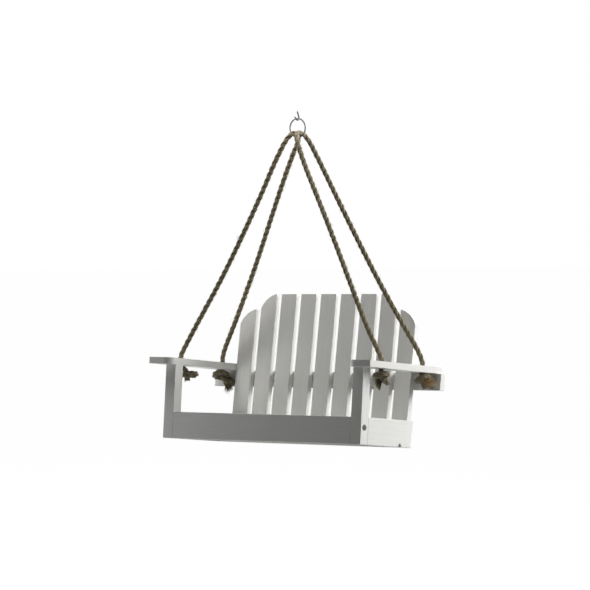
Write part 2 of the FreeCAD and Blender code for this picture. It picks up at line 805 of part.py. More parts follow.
def tube(path, diameter, faceted):
    """A tube along a path of straight runs and tangent arcs, round or with CORD_SIDES flat sides."""
    wire = Part.Wire([piece.toShape() for piece in path])
    edge = wire.Edges[0]
    start = edge.valueAt(edge.FirstParameter)
    heading = edge.tangentAt(edge.FirstParameter)
    radius = diameter / 2
    if faceted:
        section = closed_wire(polygon(start, heading, radius))
    else:
        section = Part.Wire([Part.Circle(start, heading, radius).toShape()])
    solid = wire.makePipeShell([section], True, False)
    expected = Part.Face(section).Area * wire.Length
    if abs(solid.Volume / expected - 1) > 0.02:
        raise ValueError("a tube's volume differs from its section times its length")
    return solid


def make_hook():
    """The wire hook: a stem, a bend that carries the ring, and a short tip that opens forwards."""
    radius = size("hook_radius")
    centre = Vector(0, 0, radius - size("hook_drop"))
    reach = -centre.z
    lean = math.degrees(math.asin(radius / reach))
    stem_end = centre + Vector(0, cosine(lean), sine(lean)) * radius
    rise = size("hook_tip_rise")
    tip_start = centre + Vector(0, -sine(rise), -cosine(rise)) * radius
    tip_end = tip_start + Vector(0, -cosine(rise), sine(rise)) * size("hook_tip")
    bottom = centre + Vector(0, 0, -radius)
    path = [
        Part.LineSegment(Vector(0, 0, 0), stem_end),
        Part.Arc(stem_end, bottom, tip_start),
        Part.LineSegment(tip_start, tip_end),
    ]
    hook = keep("hanging_hook", doc.addObject("Part::Feature", "hanging_hook"))
    hook.Shape = tube(path, size("hook_wire"), faceted=False)


def corner_arc(corner, before, after, radius):
    """The arc that rounds a corner between two points, tangent to both runs."""
    back = (before - corner).normalize()
    ahead = (after - corner).normalize()
    half = back.getAngle(ahead) / 2
    setback = radius / math.tan(half)
    bisector = (back + ahead).normalize()
    centre = corner + bisector * (radius / math.sin(half))
    return Part.Arc(corner + back * setback, centre - bisector * radius, corner + ahead * setback)


def rope_plane_point(sign, across, along):
    """A point of a rope's slanted plane: depth across it, distance along it from the arm's top."""
    spread = rope_spread()
    x = sign * (hole_middle() - along * sine(spread))
    return Vector(x, across, arm_top() + along * cosine(spread))


def arch_tangents():
    """Where the legs touch the arch over the ring, and its crest, as (depth, distance along) pairs."""
    arch = size("rope_arch")
    middle = size("hang_depth")
    crest = (swing_axis_in_seat().z - arm_top()) / cosine(rope_spread()) + rope_lift()
    reach = crest - arch
    touches = []
    for depth, turn in ((size("rope_front"), 1), (size("rope_rear"), -1)):
        span = math.hypot(middle - depth, reach)
        angle = math.atan2(reach, middle - depth) + turn * math.asin(arch / span)
        length = math.sqrt(span ** 2 - arch ** 2)
        touches.append((depth + length * math.cos(angle), length * math.sin(angle)))
    return touches, (middle, crest)


def make_rope(side, sign):
    """One rope: up from the front knot, over the ring's wire and down to the rear knot."""
    (front_touch, rear_touch), crest = arch_tangents()
    foot = size("post_height") - size("fit_gap")
    x = sign * hole_middle()
    legs = []
    for depth, touch in ((size("rope_front"), front_touch), (size("rope_rear"), rear_touch)):
        corner = Vector(x, depth, arm_top())
        end = Vector(x, depth, foot)
        legs.append((end, corner, rope_plane_point(sign, *touch)))
    (front_end, front_corner, front_top), (rear_end, rear_corner, rear_top) = legs
    front_arc = corner_arc(front_corner, front_end, front_top, size("rope_bend"))
    rear_arc = corner_arc(rear_corner, rear_top, rear_end, size("rope_bend"))
    over = Part.Arc(front_top, rope_plane_point(sign, *crest), rear_top)
    path = [
        Part.LineSegment(front_end, front_arc.StartPoint),
        front_arc,
        Part.LineSegment(front_arc.EndPoint, front_top),
        over,
        Part.LineSegment(rear_top, rear_arc.StartPoint),
        rear_arc,
        Part.LineSegment(rear_arc.EndPoint, rear_end),
    ]
    print(f"rope_{side}: bend radii {size('rope_bend'):.1f}, {size('rope_arch'):.1f}, {size('rope_bend'):.1f}")
    rope = keep(f"rope_{side}", doc.addObject("Part::Feature", f"rope_{side}"))
    rope.Shape = tube(path, size("rope_diameter"), faceted=True)
    rope.Placement = seat_frame()


def knot_solid(tail_heading):
    """A stopper knot: two turns of the rope drawn tight round each other, and its tail."""
    radius = size("rope_diameter") / 2
    girth = size("knot_girth") / 2
    flank = girth - radius
    shoulder = radius * math.tan(math.pi / 8)
    profile = [(flank, 0.0)]
    for turn in range(2):
        middle = -(2 * turn + 1) * radius
        profile.append((girth, middle + shoulder))
        profile.append((girth, middle - shoulder))
        profile.append((flank, middle - radius))
    up = Vector(0, 0, 1)
    turns = faceted_solid([polygon(up * height, up, reach) for reach, height in profile])
    slope = Vector(cosine(tail_heading), sine(tail_heading), -size("knot_tail_slope")).normalize()
    root = up * (-3 * radius)
    tip = root + slope * size("knot_tail")
    tail = faceted_solid([polygon(root, slope, radius), polygon(tip, slope, radius)])
    return turns.fuse(tail).removeSplitter()


def make_knots():
    """The four stopper knots under the arms, each tail lying its own way."""
    tails = {
        ("front", "left"): 20.0,
        ("rear", "left"): -55.0,
        ("front", "right"): 130.0,
        ("rear", "right"): -40.0,
    }
    depths = {"front": size("rope_front"), "rear": size("rope_rear")}
    for (end, side), heading in tails.items():
        label = f"stopper_knot_{end}_{side}"
        knot = keep(label, doc.addObject("Part::Feature", label))
        knot.Shape = knot_solid(heading)
        x = ROPE_SIDES[side] * hole_middle()
        knot.Placement = seat_place(x, depths[end], size("post_height") - size("fit_gap"))


def build():
    """Make every piece in the order of assembly."""
    fill_sheet()
    make_hook()
    make_ring()
    for side, sign in ROPE_SIDES.items():
        make_post(side, sign)
        make_side_board(side, sign)
        make_cleat(side, sign)
        make_arm(side, sign)
        make_rope(side, sign)
    make_apron()
    make_rear_rail()
    make_crossbar()
    for index, middle in enumerate(seat_board_middles(), start=1):
        make_seat_board(index, middle)
    for number, middle in enumerate(slat_middles(), start=1):
        make_slat(number, middle)
    make_knots()
    make_fasteners()
    make_slat_brads()
    doc.recompute()


def check():
    """Stop if any object failed or any piece is not a valid solid."""
    for item in doc.Objects:
        if "Invalid" in item.State or "Error" in item.State:
            raise ValueError(f"{item.Label} failed: {item.State}")
    for node in nodes:
        if node.Shape.isNull() or not node.Shape.isValid():
            raise ValueError(f"{node.Label} has no valid shape")


def export():
    """Write each piece to its own STEP file."""
    os.makedirs("parts", exist_ok=True)
    for node in nodes:
        node.Shape.exportStep(f"parts/{node.Label}.step")
        print(f"{node.Label}: {len(node.Shape.Solids)} solid(s), {node.Shape.Volume:.1f} mm3")


build()
check()
export()
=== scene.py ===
"""Looks of a small hanging porch swing: painted boards, laid rope, knots, ring, hook and studio.

Seat, ropes and knots are built in the square seat frame in millimetres (X to the right of its
middle, Y from the front faces of the posts to the back, Z up from the underside of the boards),
then hung into the row frame in metres by HangingFrame. Ring and hook are built in the row frame.
"""

import logging
import math
import random
from dataclasses import dataclass, field
from enum import Enum

import bmesh
import bpy
import numpy as np
from mathutils import Matrix, Vector


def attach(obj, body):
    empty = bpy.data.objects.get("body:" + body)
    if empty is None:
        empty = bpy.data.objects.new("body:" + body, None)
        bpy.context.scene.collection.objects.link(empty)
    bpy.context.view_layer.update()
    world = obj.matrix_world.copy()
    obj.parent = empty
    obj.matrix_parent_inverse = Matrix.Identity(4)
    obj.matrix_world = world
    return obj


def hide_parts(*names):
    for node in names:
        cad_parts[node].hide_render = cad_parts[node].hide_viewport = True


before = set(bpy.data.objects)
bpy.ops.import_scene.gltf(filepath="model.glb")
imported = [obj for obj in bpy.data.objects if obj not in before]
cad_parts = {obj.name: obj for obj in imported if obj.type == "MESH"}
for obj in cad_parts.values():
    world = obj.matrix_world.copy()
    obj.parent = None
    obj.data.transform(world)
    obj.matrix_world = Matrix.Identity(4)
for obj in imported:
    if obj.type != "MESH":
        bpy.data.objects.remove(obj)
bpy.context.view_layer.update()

log = logging.getLogger("porch_swing")
MM = 0.001
TINY = 1e-9
Flat = tuple[float, float]
Point = tuple[float, float, float]
Colour = tuple[float, float, float, float]
Faces = list[tuple[int, ...]]
RIGHTWARD: Point = (1.0, 0.0, 0.0)
BACKWARD: Point = (0.0, 1.0, 0.0)
FORWARD: Point = (0.0, -1.0, 0.0)
UPWARD: Point = (0.0, 0.0, 1.0)
WHITE: Colour = (1.0, 1.0, 1.0, 1.0)


class Named(Enum):
    """Members whose names are words in the pieces' names."""

    @property
    def word(self) -> str:
        """The member's name as the pieces have it."""
        return self.name.lower()


class Side(Named):
    """The two halves of the swing, with the sign of their X."""

    LEFT = -1
    RIGHT = 1

    @property
    def outward(self) -> Point:
        """The way from the seat's middle to this side."""
        return (float(self.value), 0.0, 0.0)


class End(Named):
    """The two holes of an arm, with their distance behind the posts' front faces in mm."""

    FRONT = 34.0
    REAR = 126.0


class Slot(Enum):
    """Material slots of the record."""

    PAINT = "white_paint"
    ROPE = "jute_rope"
    RING = "ring_steel"
    HOOK = "hook_wire"
    ZINC = "zinc_fasteners"


# How the seat hangs


@dataclass(frozen=True)
class HangingFrame:
    """Turns points of the square seat frame into the row frame. Lengths in mm, angles in degrees."""

    pitch: float = -6.443
    hang_depth: float = 54.0
    arm_top: float = 106.6
    rope_rise: float = 308.0
    hole_middle: float = 164.0
    rope_lift: float = 4.7
    rope_room: float = 3.625
    hook_drop: float = 11.6
    hook_wire: float = 1.8
    ring_wire: float = 2.0
    play: float = 0.3

    @property
    def spread(self) -> float:
        """Angle in radians by which the ropes lean inwards."""
        return math.atan2(self.hole_middle, self.rope_rise)

    @property
    def ring_radius(self) -> float:
        """Radius of the middle line of the ring's wire."""
        return self.rope_lift + self.rope_room / math.sin(self.spread)

    @property
    def ring_height(self) -> float:
        """Height of the ring's centre in the row frame, in mm."""
        inner = self.ring_radius - self.ring_wire / 2
        return -self.hook_drop - (inner - self.hook_wire / 2 - self.play)

    @property
    def matrix(self) -> Matrix:
        """Seat frame in mm to row frame in m.

        Returns:
            The matrix.
        """
        drop = self.ring_radius * math.cos(self.spread)
        axis_in_seat = Vector((0.0, self.hang_depth, self.arm_top + self.rope_rise - drop))
        axis = Vector((0.0, 0.0, self.ring_height - drop))
        turn = Matrix.Rotation(math.radians(self.pitch), 4, "X")
        hung = Matrix.Translation(axis) @ turn @ Matrix.Translation(-axis_in_seat)
        return Matrix.Scale(MM, 4) @ hung


HANGING = HangingFrame()


# Small tools for meshes


def unit(vector: np.ndarray) -> np.ndarray:
    """The vector with a length of one."""
    return vector / np.linalg.norm(vector)


def moved(points: np.ndarray, matrix: Matrix) -> np.ndarray:
    """Points carried through a matrix."""
    numbers = np.array(matrix)
    return points @ numbers[:3, :3].T + numbers[:3, 3]


def along_line(points: np.ndarray) -> np.ndarray:
    """Arc length of each point from the first one."""
    steps = np.linalg.norm(np.diff(points, axis=0), axis=1)
    return np.concatenate([[0.0], np.cumsum(steps)])


def evenly(points: np.ndarray, step: float) -> np.ndarray:
    """The same line with its points about a step apart.

    Args:
        points: The line, one row a point.
        step: The wanted distance.

    Returns:
        The new points.
    """
    along = along_line(points)
    count = max(2, int(round(along[-1] / step)) + 1)
    at = np.linspace(0.0, along[-1], count)
    return np.stack([np.interp(at, along, points[:, axis]) for axis in range(3)], axis=1)


def carried_frames(points: np.ndarray) -> tuple[np.ndarray, np.ndarray, np.ndarray]:
    """Tangents and two normals along a line, turned as little as possible from point to point.

    Args:
        points: The line, one row a point.

    Returns:
        Tangents, first normals and second normals, one row a point each.
    """
    tangents = np.gradient(points, axis=0)
    tangents /= np.linalg.norm(tangents, axis=1, keepdims=True)
    nearly_along = 0.9
    normal = np.array(RIGHTWARD if abs(tangents[0, 0]) < nearly_along else BACKWARD)
    first = np.zeros_like(points)
    for index, tangent in enumerate(tangents):
        normal = unit(normal - tangent * normal.dot(tangent))
        first[index] = normal
    return tangents, first, np.cross(tangents, first)


def circle_angles(count: int) -> np.ndarray:
    """Angles in radians that divide a full turn evenly."""
    return np.linspace(0.0, 2 * math.pi, count, endpoint=False)


def spokes(first: np.ndarray, second: np.ndarray, angle: np.ndarray) -> np.ndarray:
    """Unit vectors square to a line: at each of its points one for every angle."""
    return np.cos(angle)[:, None] * first[:, None, :] + np.sin(angle)[:, None] * second[:, None, :]


def ring_faces(rings: int, around: int, closed: bool = False) -> Faces:
    """Quads between rings of vertices that follow each other, and back to the first if closed.

    Args:
        rings: How many rings.
        around: How many vertices each has.
        closed: Whether the last ring meets the first.

    Returns:
        The faces.
    """
    faces: Faces = []
    for ring in range(rings if closed else rings - 1):
        low = ring * around
        high = (ring + 1) % rings * around
        for spot in range(around):
            after = (spot + 1) % around
            faces.append((low + spot, low + after, high + after, high + spot))
    return faces


def tube_faces(rings: int, around: int) -> Faces:
    """The faces of a tube of rings with a cap on each end."""
    last = (rings - 1) * around
    return [*ring_faces(rings, around), tuple(reversed(range(around))), tuple(range(last, last + around))]


def tube(points: np.ndarray, radii: np.ndarray, around: int) -> tuple[np.ndarray, Faces]:
    """A closed round tube along a line.

    Args:
        points: The line.
        radii: The tube's radius at each point.
        around: How many vertices go round it.

    Returns:
        Its vertices and faces.
    """
    _, first, second = carried_frames(points)
    rings = points[:, None, :] + spokes(first, second, circle_angles(around)) * radii[:, None, None]
    return rings.reshape(-1, 3), tube_faces(len(points), around)


class Surface:
    """Gathers vertices, faces and point values of one piece before it becomes a mesh."""

    def __init__(self) -> None:
        """An empty surface."""
        self.points: list[np.ndarray] = []
        self.faces: Faces = []
        self.values: dict[str, list[np.ndarray]] = {}
        self.count = 0

    def add(self, points: np.ndarray, faces: Faces, **values: np.ndarray) -> None:
        """Add one part.

        Args:
            points: Its vertices, one row each.
            faces: Its faces as indices into those vertices.
            values: Named values of the vertices, numbers or rows of three.
        """
        self.faces += [tuple(index + self.count for index in face) for face in faces]
        self.points.append(points)
        for name, value in values.items():
            self.values.setdefault(name, []).append(value)
        self.count += len(points)

    def mesh(self, name: str, matrix: Matrix) -> bpy.types.Mesh:
        """The mesh carried through a matrix into the row frame, with its values as attributes.

        Args:
            name: The mesh's name.
            matrix: From the surface's frame to the row frame.

        Returns:
            The mesh.
        """
        data = bpy.data.meshes.new(name)
        data.from_pydata(moved(np.concatenate(self.points), matrix).tolist(), [], self.faces)
        for value_name, parts in self.values.items():
            value = np.concatenate(parts)
            kind = "FLOAT" if value.ndim == 1 else "FLOAT_VECTOR"
            layer = data.attributes.new(value_name, kind, "POINT")
            layer.data.foreach_set("value" if kind == "FLOAT" else "vector", value.ravel())
        data.validate()
        data.update()
        return data


def stand(name: str, data: bpy.types.Mesh, body: str, finish: bpy.types.Material,
          replaced: tuple[str, ...] = (), smooth: bool = True) -> bpy.types.Object:
    """Put a finished mesh into the scene as a piece of the object.

    Args:
        name: The piece's name.
        data: Its mesh, in the row frame in metres.
        body: The CAD body that it rides on.
        finish: Its material.
        replaced: The CAD nodes that it stands for.
        smooth: Whether its faces are shaded smooth.

    Returns:
        The new object.
    """
    data.materials.append(finish)
    if smooth:
        data.shade_smooth()
    piece = bpy.data.objects.new(name, data)
    bpy.context.scene.collection.objects.link(piece)
    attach(piece, body)
    if replaced:
        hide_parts(*replaced)
    log.info("%s: %d faces on %s", name, len(data.polygons), body)
    return piece


def stand_on_seat(name: str, surface: Surface, slot: Slot, finish: bpy.types.Material,
                  *replaced: str) -> bpy.types.Object:
    """Put a surface of the seat frame into the scene as a piece that rides on the seat.

    Args:
        name: The piece's name.
        surface: Its surface, in mm.
        slot: The record's material slot, which is not used here.
        finish: Its material.
        replaced: The CAD nodes that it stands for.

    Returns:
        The new object.
    """
    return stand(name, surface.mesh(name, HANGING.matrix), "seat", finish, replaced)


# Shader node groups and finishes


class Nodes:
    """A short way to write node trees."""

    def __init__(self, tree: bpy.types.NodeTree) -> None:
        """Start from a tree without nodes."""
        self.tree = tree
        tree.nodes.clear()

    def add(self, kind: str, settings: dict | None = None, **inputs: object) -> bpy.types.Node:
        """Add a node.

        Args:
            kind: Its type, without the word ShaderNode.
            settings: Its own properties.
            inputs: Values or sockets for its inputs, by name with underscores for spaces.

        Returns:
            The node.
        """
        node = self.tree.nodes.new(kind if kind.startswith("Node") else f"ShaderNode{kind}")
        for name, value in (settings or {}).items():
            setattr(node, name, value)
        for name, value in inputs.items():
            socket = self.socket(node, name)
            if isinstance(value, bpy.types.NodeSocket):
                self.tree.links.new(value, socket)
            else:
                socket.default_value = value
        return node

    @staticmethod
    def socket(node: bpy.types.Node, name: str) -> bpy.types.NodeSocket:
        """An input by its name, or by its place where the name is in_ and a number.

        Args:
            node: The node.
            name: The input's name or place.

        Returns:
            The input.
        """
        if name.startswith("in_"):
            return node.inputs[int(name[3:])]
        return node.inputs[name.replace("_", " ")]

    def maths(self, operation: str, *values: object) -> bpy.types.NodeSocket:
        """A math node's output."""
        inputs = {f"in_{place}": value for place, value in enumerate(values)}
        return self.add("Math", {"operation": operation}, **inputs).outputs[0]

    def times(self, first: object, second: object) -> bpy.types.NodeSocket:
        """A product."""
        return self.maths("MULTIPLY", first, second)

    def plus(self, first: object, second: object) -> bpy.types.NodeSocket:
        """A sum."""
        return self.maths("ADD", first, second)

    def blend(self, factor: object, low: object, high: object, mode: str = "MIX") -> bpy.types.NodeSocket:
        """A colour mixed from two colours."""
        settings = {"data_type": "RGBA", "blend_type": mode}
        return self.add("Mix", settings, in_0=factor, in_6=low, in_7=high).outputs[2]

    def stretch(self, vector: bpy.types.NodeSocket, scale: Point) -> bpy.types.NodeSocket:
        """A vector multiplied part by part."""
        return self.add("VectorMath", {"operation": "MULTIPLY"}, in_0=vector, in_1=scale).outputs[0]

    def noise(self, vector: object, scale: object = 1.0, detail: float = 4.0,
              rough: float = 0.55) -> bpy.types.NodeSocket:
        """A noise texture's value."""
        return self.add("TexNoise", Vector=vector, Scale=scale, Detail=detail, Roughness=rough).outputs[0]

    def ramp(self, value: object, low: float, high: float, start: float = 0.0,
             end: float = 1.0) -> bpy.types.NodeSocket:
        """A value mapped from one span to another and held inside it."""
        return self.add("MapRange", {"clamp": True}, Value=value, From_Min=low, From_Max=high,
                        To_Min=start, To_Max=end).outputs[0]

    def use(self, group: bpy.types.NodeTree, **inputs: object) -> bpy.types.bpy_prop_collection:
        """The outputs of a shader node group."""
        return self.add("Group", {"node_tree": group}, **inputs).outputs

    def read(self, name: str) -> bpy.types.bpy_prop_collection:
        """The outputs of an attribute of the mesh."""
        return self.add("Attribute", {"attribute_name": name}).outputs

    def finish(self, plain: dict[str, object], **inputs: object) -> None:
        """End a material with a Principled BSDF.

        Args:
            plain: Sockets that are the same all over, by their full names.
            inputs: The other inputs, as in add.
        """
        shader = self.add("BsdfPrincipled", **inputs)
        for name, value in plain.items():
            shader.inputs[name].default_value = value
        self.add("OutputMaterial", Surface=shader.outputs[0])


class EffectGroup(Nodes):
    """The nodes of a new shader node group."""

    def __init__(self, name: str, inputs: dict[str, float | None], outputs: tuple[str, ...]) -> None:
        """Start the group with its sockets.

        Args:
            name: The group's name.
            inputs: The inputs' defaults by name, or None for a vector.
            outputs: The names of the values that it gives.
        """
        super().__init__(bpy.data.node_groups.new(name, "ShaderNodeTree"))
        for socket_name, default in inputs.items():
            kind = "NodeSocketVector" if default is None else "NodeSocketFloat"
            socket = self.tree.interface.new_socket(socket_name, in_out="INPUT", socket_type=kind)
            if default is not None:
                socket.default_value = default
        for socket_name in outputs:
            self.tree.interface.new_socket(socket_name, in_out="OUTPUT", socket_type="NodeSocketFloat")
        self.entry = self.add("NodeGroupInput")
        self.way_out = self.add("NodeGroupOutput")

    def given(self, name: str) -> bpy.types.NodeSocket:
        """One of the group's inputs."""
        return self.entry.outputs[name]

    def give(self, **values: bpy.types.NodeSocket) -> None:
        """Send values out of the group by their names."""
        for name, value in values.items():
            self.tree.links.new(value, self.way_out.inputs[name])


@dataclass
class EffectGroups:
    """The shader node groups that the finishes share, each built once.

    Points are pattern frequencies along and across the wood or the fibre, pairs are spans of a noise.
    """

    drift: Point = (9.0, 30.0, 30.0)
    growth: Point = (14.0, 420.0, 420.0)
    growth_bend: float = 9.0
    growth_span: Flat = (0.35, 0.7)
    streaks: Point = (40.0, 1500.0, 1500.0)
    streak_height: float = 0.35
    brushing: Point = (22.0, 1100.0, 700.0)
    brush_height: float = 0.5
    patch_span: Flat = (0.38, 0.68)
    speck_scale: float = 28.0
    speck_span: Flat = (0.66, 0.74)
    fibre_length: float = 55.0
    threads: Point = (1.0, 7.0, 7.0)
    thread_share: float = 0.7
    clumps: Point = (0.5, 1.3, 1.3)
    clump_span: Flat = (0.32, 0.68)
    fine_threads: Point = (2.0, 17.0, 17.0)
    fine_height: float = 0.6
    tone_span: Flat = (0.3, 0.7)

    def __post_init__(self) -> None:
        """Build all of them."""
        self.grain = self.grain_group()
        self.smudges = self.smudge_group()
        self.fibres = self.fibre_group()

    def grain_group(self) -> bpy.types.NodeTree:
        """Wood grain that shows through paint: growth lines, streaks and brush marks.

        Returns:
            The group's node tree.
        """
        group = EffectGroup("board_grain", {"Board": None}, ("Grain", "Brush", "Height"))
        board = group.given("Board")
        drift = group.noise(group.stretch(board, self.drift), detail=2.0)
        lines = group.stretch(board, self.growth)
        aside = group.add("CombineXYZ", Y=group.times(drift, self.growth_bend)).outputs[0]
        bent = group.add("VectorMath", {"operation": "ADD"}, in_0=lines, in_1=aside).outputs[0]
        grain = group.ramp(group.noise(bent, detail=3.0, rough=0.5), *self.growth_span)
        streaks = group.noise(group.stretch(board, self.streaks), detail=2.0)
        brush = group.noise(group.stretch(board, self.brushing), detail=1.0)
        height = group.plus(grain, group.times(streaks, self.streak_height))
        height = group.plus(height, group.times(brush, self.brush_height))
        group.give(Grain=grain, Brush=brush, Height=height)
        return group.tree

    def smudge_group(self) -> bpy.types.NodeTree:
        """Soft patches and small specks, for handling marks on any finish.

        Returns:
            The group's node tree.
        """
        group = EffectGroup("smudges", {"Spot": None, "Size": 30.0}, ("Patch", "Speck"))
        spot, size = group.given("Spot"), group.given("Size")
        patch = group.noise(spot, size, 3.0)
        speck = group.noise(spot, group.times(size, self.speck_scale), 2.0)
        group.give(Patch=group.ramp(patch, *self.patch_span), Speck=group.ramp(speck, *self.speck_span))
        return group.tree

    def fibre_group(self) -> bpy.types.NodeTree:
        """Plant fibres laid along a strand: bright and dark threads with a little twist.

        Returns:
            The group's node tree.
        """
        group = EffectGroup("laid_fibres", {"Lay": None, "Twist": 1.0}, ("Tone", "Clump", "Height"))
        parts = group.add("SeparateXYZ", Vector=group.given("Lay")).outputs
        angle = group.times(group.plus(parts[1], group.times(parts[0], group.given("Twist"))), 2 * math.pi)
        circle = group.add(
            "CombineXYZ", X=group.times(parts[0], self.fibre_length),
            Y=group.maths("COSINE", angle), Z=group.maths("SINE", angle),
        ).outputs[0]
        threads = group.noise(group.stretch(circle, self.threads), detail=3.0, rough=0.65)
        clump = group.noise(group.stretch(circle, self.clumps), detail=2.0)
        fine = group.noise(group.stretch(circle, self.fine_threads), detail=1.0)
        tone = group.plus(group.times(threads, self.thread_share), group.times(fine, 1 - self.thread_share))
        group.give(
            Tone=group.ramp(tone, *self.tone_span), Clump=group.ramp(clump, *self.clump_span),
            Height=group.plus(threads, group.times(fine, self.fine_height)),
        )
        return group.tree


def new_material(name: str) -> tuple[bpy.types.Material, Nodes]:
    """A new material and its empty node tree.

    Args:
        name: Its name.

    Returns:
        The material and its nodes.
    """
    material = bpy.data.materials.new(name)
    material.use_nodes = True
    return material, Nodes(material.node_tree)


@dataclass(frozen=True)
class PaintFinish:
    """Satin white paint brushed over softwood."""

    groups: EffectGroups
    paint: Colour = (0.80, 0.80, 0.775, 1.0)
    shade: Colour = (0.70, 0.695, 0.66, 1.0)
    bare: Colour = (0.52, 0.42, 0.28, 1.0)
    grain_shown: float = 0.32
    patch_shown: float = 0.16
    speck_shown: float = 0.12
    wear_shown: float = 0.5
    wear_scale: float = 160.0
    wear_span: Flat = (0.56, 0.7)
    roughness: float = 0.42
    patch_roughness: float = 0.12
    end_roughness: float = 0.15
    gloss: float = 0.22
    bump_depth: float = 0.00012

    def material(self) -> bpy.types.Material:
        """Build the material from the boards' own coordinates, wear and end-grain values.

        Returns:
            The material.
        """
        material, nodes = new_material("satin_white_paint")
        board = nodes.read("board")["Vector"]
        wear = nodes.read("wear")["Fac"]
        end = nodes.read("end")["Fac"]
        grain = nodes.use(self.groups.grain, Board=board)
        smudge = nodes.use(self.groups.smudges, Spot=board, Size=26.0)
        colour = nodes.blend(nodes.times(grain["Grain"], self.grain_shown), self.paint, self.shade)
        colour = nodes.blend(nodes.times(smudge["Patch"], self.patch_shown), colour, self.shade)
        soaked = nodes.times(end, nodes.ramp(grain["Brush"], 0.3, 0.7, 0.15, 0.45))
        colour = nodes.blend(soaked, colour, self.shade)
        rubbed = nodes.ramp(nodes.noise(board, self.wear_scale), *self.wear_span)
        worn = nodes.times(nodes.times(wear, rubbed), self.wear_shown)
        specks = nodes.times(smudge["Speck"], self.speck_shown)
        colour = nodes.blend(nodes.maths("MAXIMUM", worn, specks), colour, self.bare)
        rough = nodes.plus(nodes.times(smudge["Patch"], self.patch_roughness), self.roughness)
        rough = nodes.plus(rough, nodes.times(end, self.end_roughness))
        bump = nodes.add("Bump", Height=grain["Height"], Strength=0.5, Distance=self.bump_depth)
        nodes.finish(
            {"Specular IOR Level": self.gloss},
            Base_Color=colour, Roughness=rough, Normal=bump.outputs[0],
        )
        return material


@dataclass(frozen=True)
class RopeFinish:
    """Natural plant fibre, laid in strands or frayed into single hairs. Distances in m."""

    groups: EffectGroups
    name: str
    light: Colour = (0.35, 0.30, 0.19, 1.0)
    middle: Colour = (0.160, 0.135, 0.080, 1.0)
    dark: Colour = (0.062, 0.053, 0.032, 1.0)
    faded: Colour = (0.46, 0.37, 0.26, 1.0)
    olive: Colour = (0.91, 0.98, 0.80, 1.0)
    brown: Colour = (1.15, 1.03, 0.98, 1.0)
    twist: float = 85.0
    tones: Flat = (0.2, 0.75)
    clump_shown: float = 0.45
    patch_shown: float = 0.4
    painted_shade_shown: float = 0.65
    tint_length: Point = (24.0, 0.0, 6.0)
    tint_span: Flat = (0.38, 0.62)
    faded_from_origin: Flat = (0.034, 0.058)
    faded_shown: float = 0.62
    bump_depth: float = 0.0004

    def material(self) -> bpy.types.Material:
        """Build the material from the strands' own coordinates, paler where the ring rubs them, with
        painted shade in the grooves and on the knots.

        Returns:
            The material.
        """
        material, nodes = new_material(self.name)
        lay = nodes.read("lay")["Vector"]
        deep = nodes.read("deep")["Fac"]
        fibres = nodes.use(self.groups.fibres, Lay=lay, Twist=self.twist)
        smudge = nodes.use(self.groups.smudges, Spot=lay, Size=14.0)
        colour = nodes.blend(nodes.ramp(fibres["Tone"], 0.0, 1.0, *self.tones), self.middle, self.light)
        colour = nodes.blend(nodes.times(fibres["Clump"], self.clump_shown), colour, self.middle)
        colour = nodes.blend(nodes.times(smudge["Patch"], self.patch_shown), colour, self.dark)
        slow = nodes.noise(nodes.stretch(lay, self.tint_length), detail=2.0)
        tint = nodes.blend(nodes.ramp(slow, *self.tint_span), self.olive, self.brown)
        colour = nodes.blend(1.0, colour, tint, "MULTIPLY")
        place = nodes.add("TexCoord").outputs["Object"]
        away = nodes.add("VectorMath", {"operation": "LENGTH"}, in_0=place).outputs["Value"]
        rubbed = nodes.ramp(away, *self.faded_from_origin, self.faded_shown, 0.0)
        colour = nodes.blend(rubbed, colour, self.faded)
        # painted shade: darker in the strands' grooves and over the knots' outsides
        colour = nodes.blend(nodes.times(deep, self.painted_shade_shown), colour, self.dark)
        rough = nodes.ramp(fibres["Tone"], 0.0, 1.0, 0.85, 0.68)
        bump = nodes.add("Bump", Height=fibres["Height"], Strength=0.8, Distance=self.bump_depth)
        nodes.finish(
            {"Sheen Weight": 0.25, "Sheen Roughness": 0.6, "Specular IOR Level": 0.25},
            Base_Color=colour, Roughness=rough, Normal=bump.outputs[0],
        )
        return material


@dataclass(frozen=True)
class MetalFinish:
    """Drawn wire or pressed metal with light scratches."""

    groups: EffectGroups
    name: str
    bright: Colour
    dull: Colour
    roughness: float
    metallic: float = 1.0
    scratches: Point = (900.0, 900.0, 5200.0)
    scratch_roughness: float = 0.25
    bump_depth: float = 0.00003

    def material(self) -> bpy.types.Material:
        """Build the material from the object's own place.

        Returns:
            The material.
        """
        material, nodes = new_material(self.name)
        place = nodes.add("TexCoord").outputs["Object"]
        smudge = nodes.use(self.groups.smudges, Spot=place, Size=220.0)
        scratch = nodes.noise(nodes.stretch(place, self.scratches), detail=3.0, rough=0.6)
        colour = nodes.blend(smudge["Patch"], self.bright, self.dull)
        rough = nodes.plus(nodes.times(scratch, self.scratch_roughness), self.roughness)
        bump = nodes.add("Bump", Height=scratch, Strength=0.25, Distance=self.bump_depth)
        nodes.finish(
            {"Metallic": self.metallic},
            Base_Color=colour, Roughness=rough, Normal=bump.outputs[0],
        )
        return material


# Boards


def rectangle(width: float, height: float) -> list[Flat]:
    """The outline of a square-cornered face."""
    return [(0.0, 0.0), (width, 0.0), (width, height), (0.0, height)]


def closed_pairs(chain: list) -> list[tuple]:
    """Each member of a closed chain with the next one."""
    return list(zip(chain, [*chain[1:], chain[0]]))


@dataclass(frozen=True)
class Bore:
    """A round hole of a board: its middle, its diameter and its depth, or None right through."""

    across: float
    along: float
    diameter: float
    depth: float | None = None

    def rim(self, steps: int) -> list[Flat]:
        """Points round the hole."""
        radius = self.diameter / 2
        return [(self.across + radius * math.cos(a), self.along + radius * math.sin(a))
                for a in circle_angles(steps)]


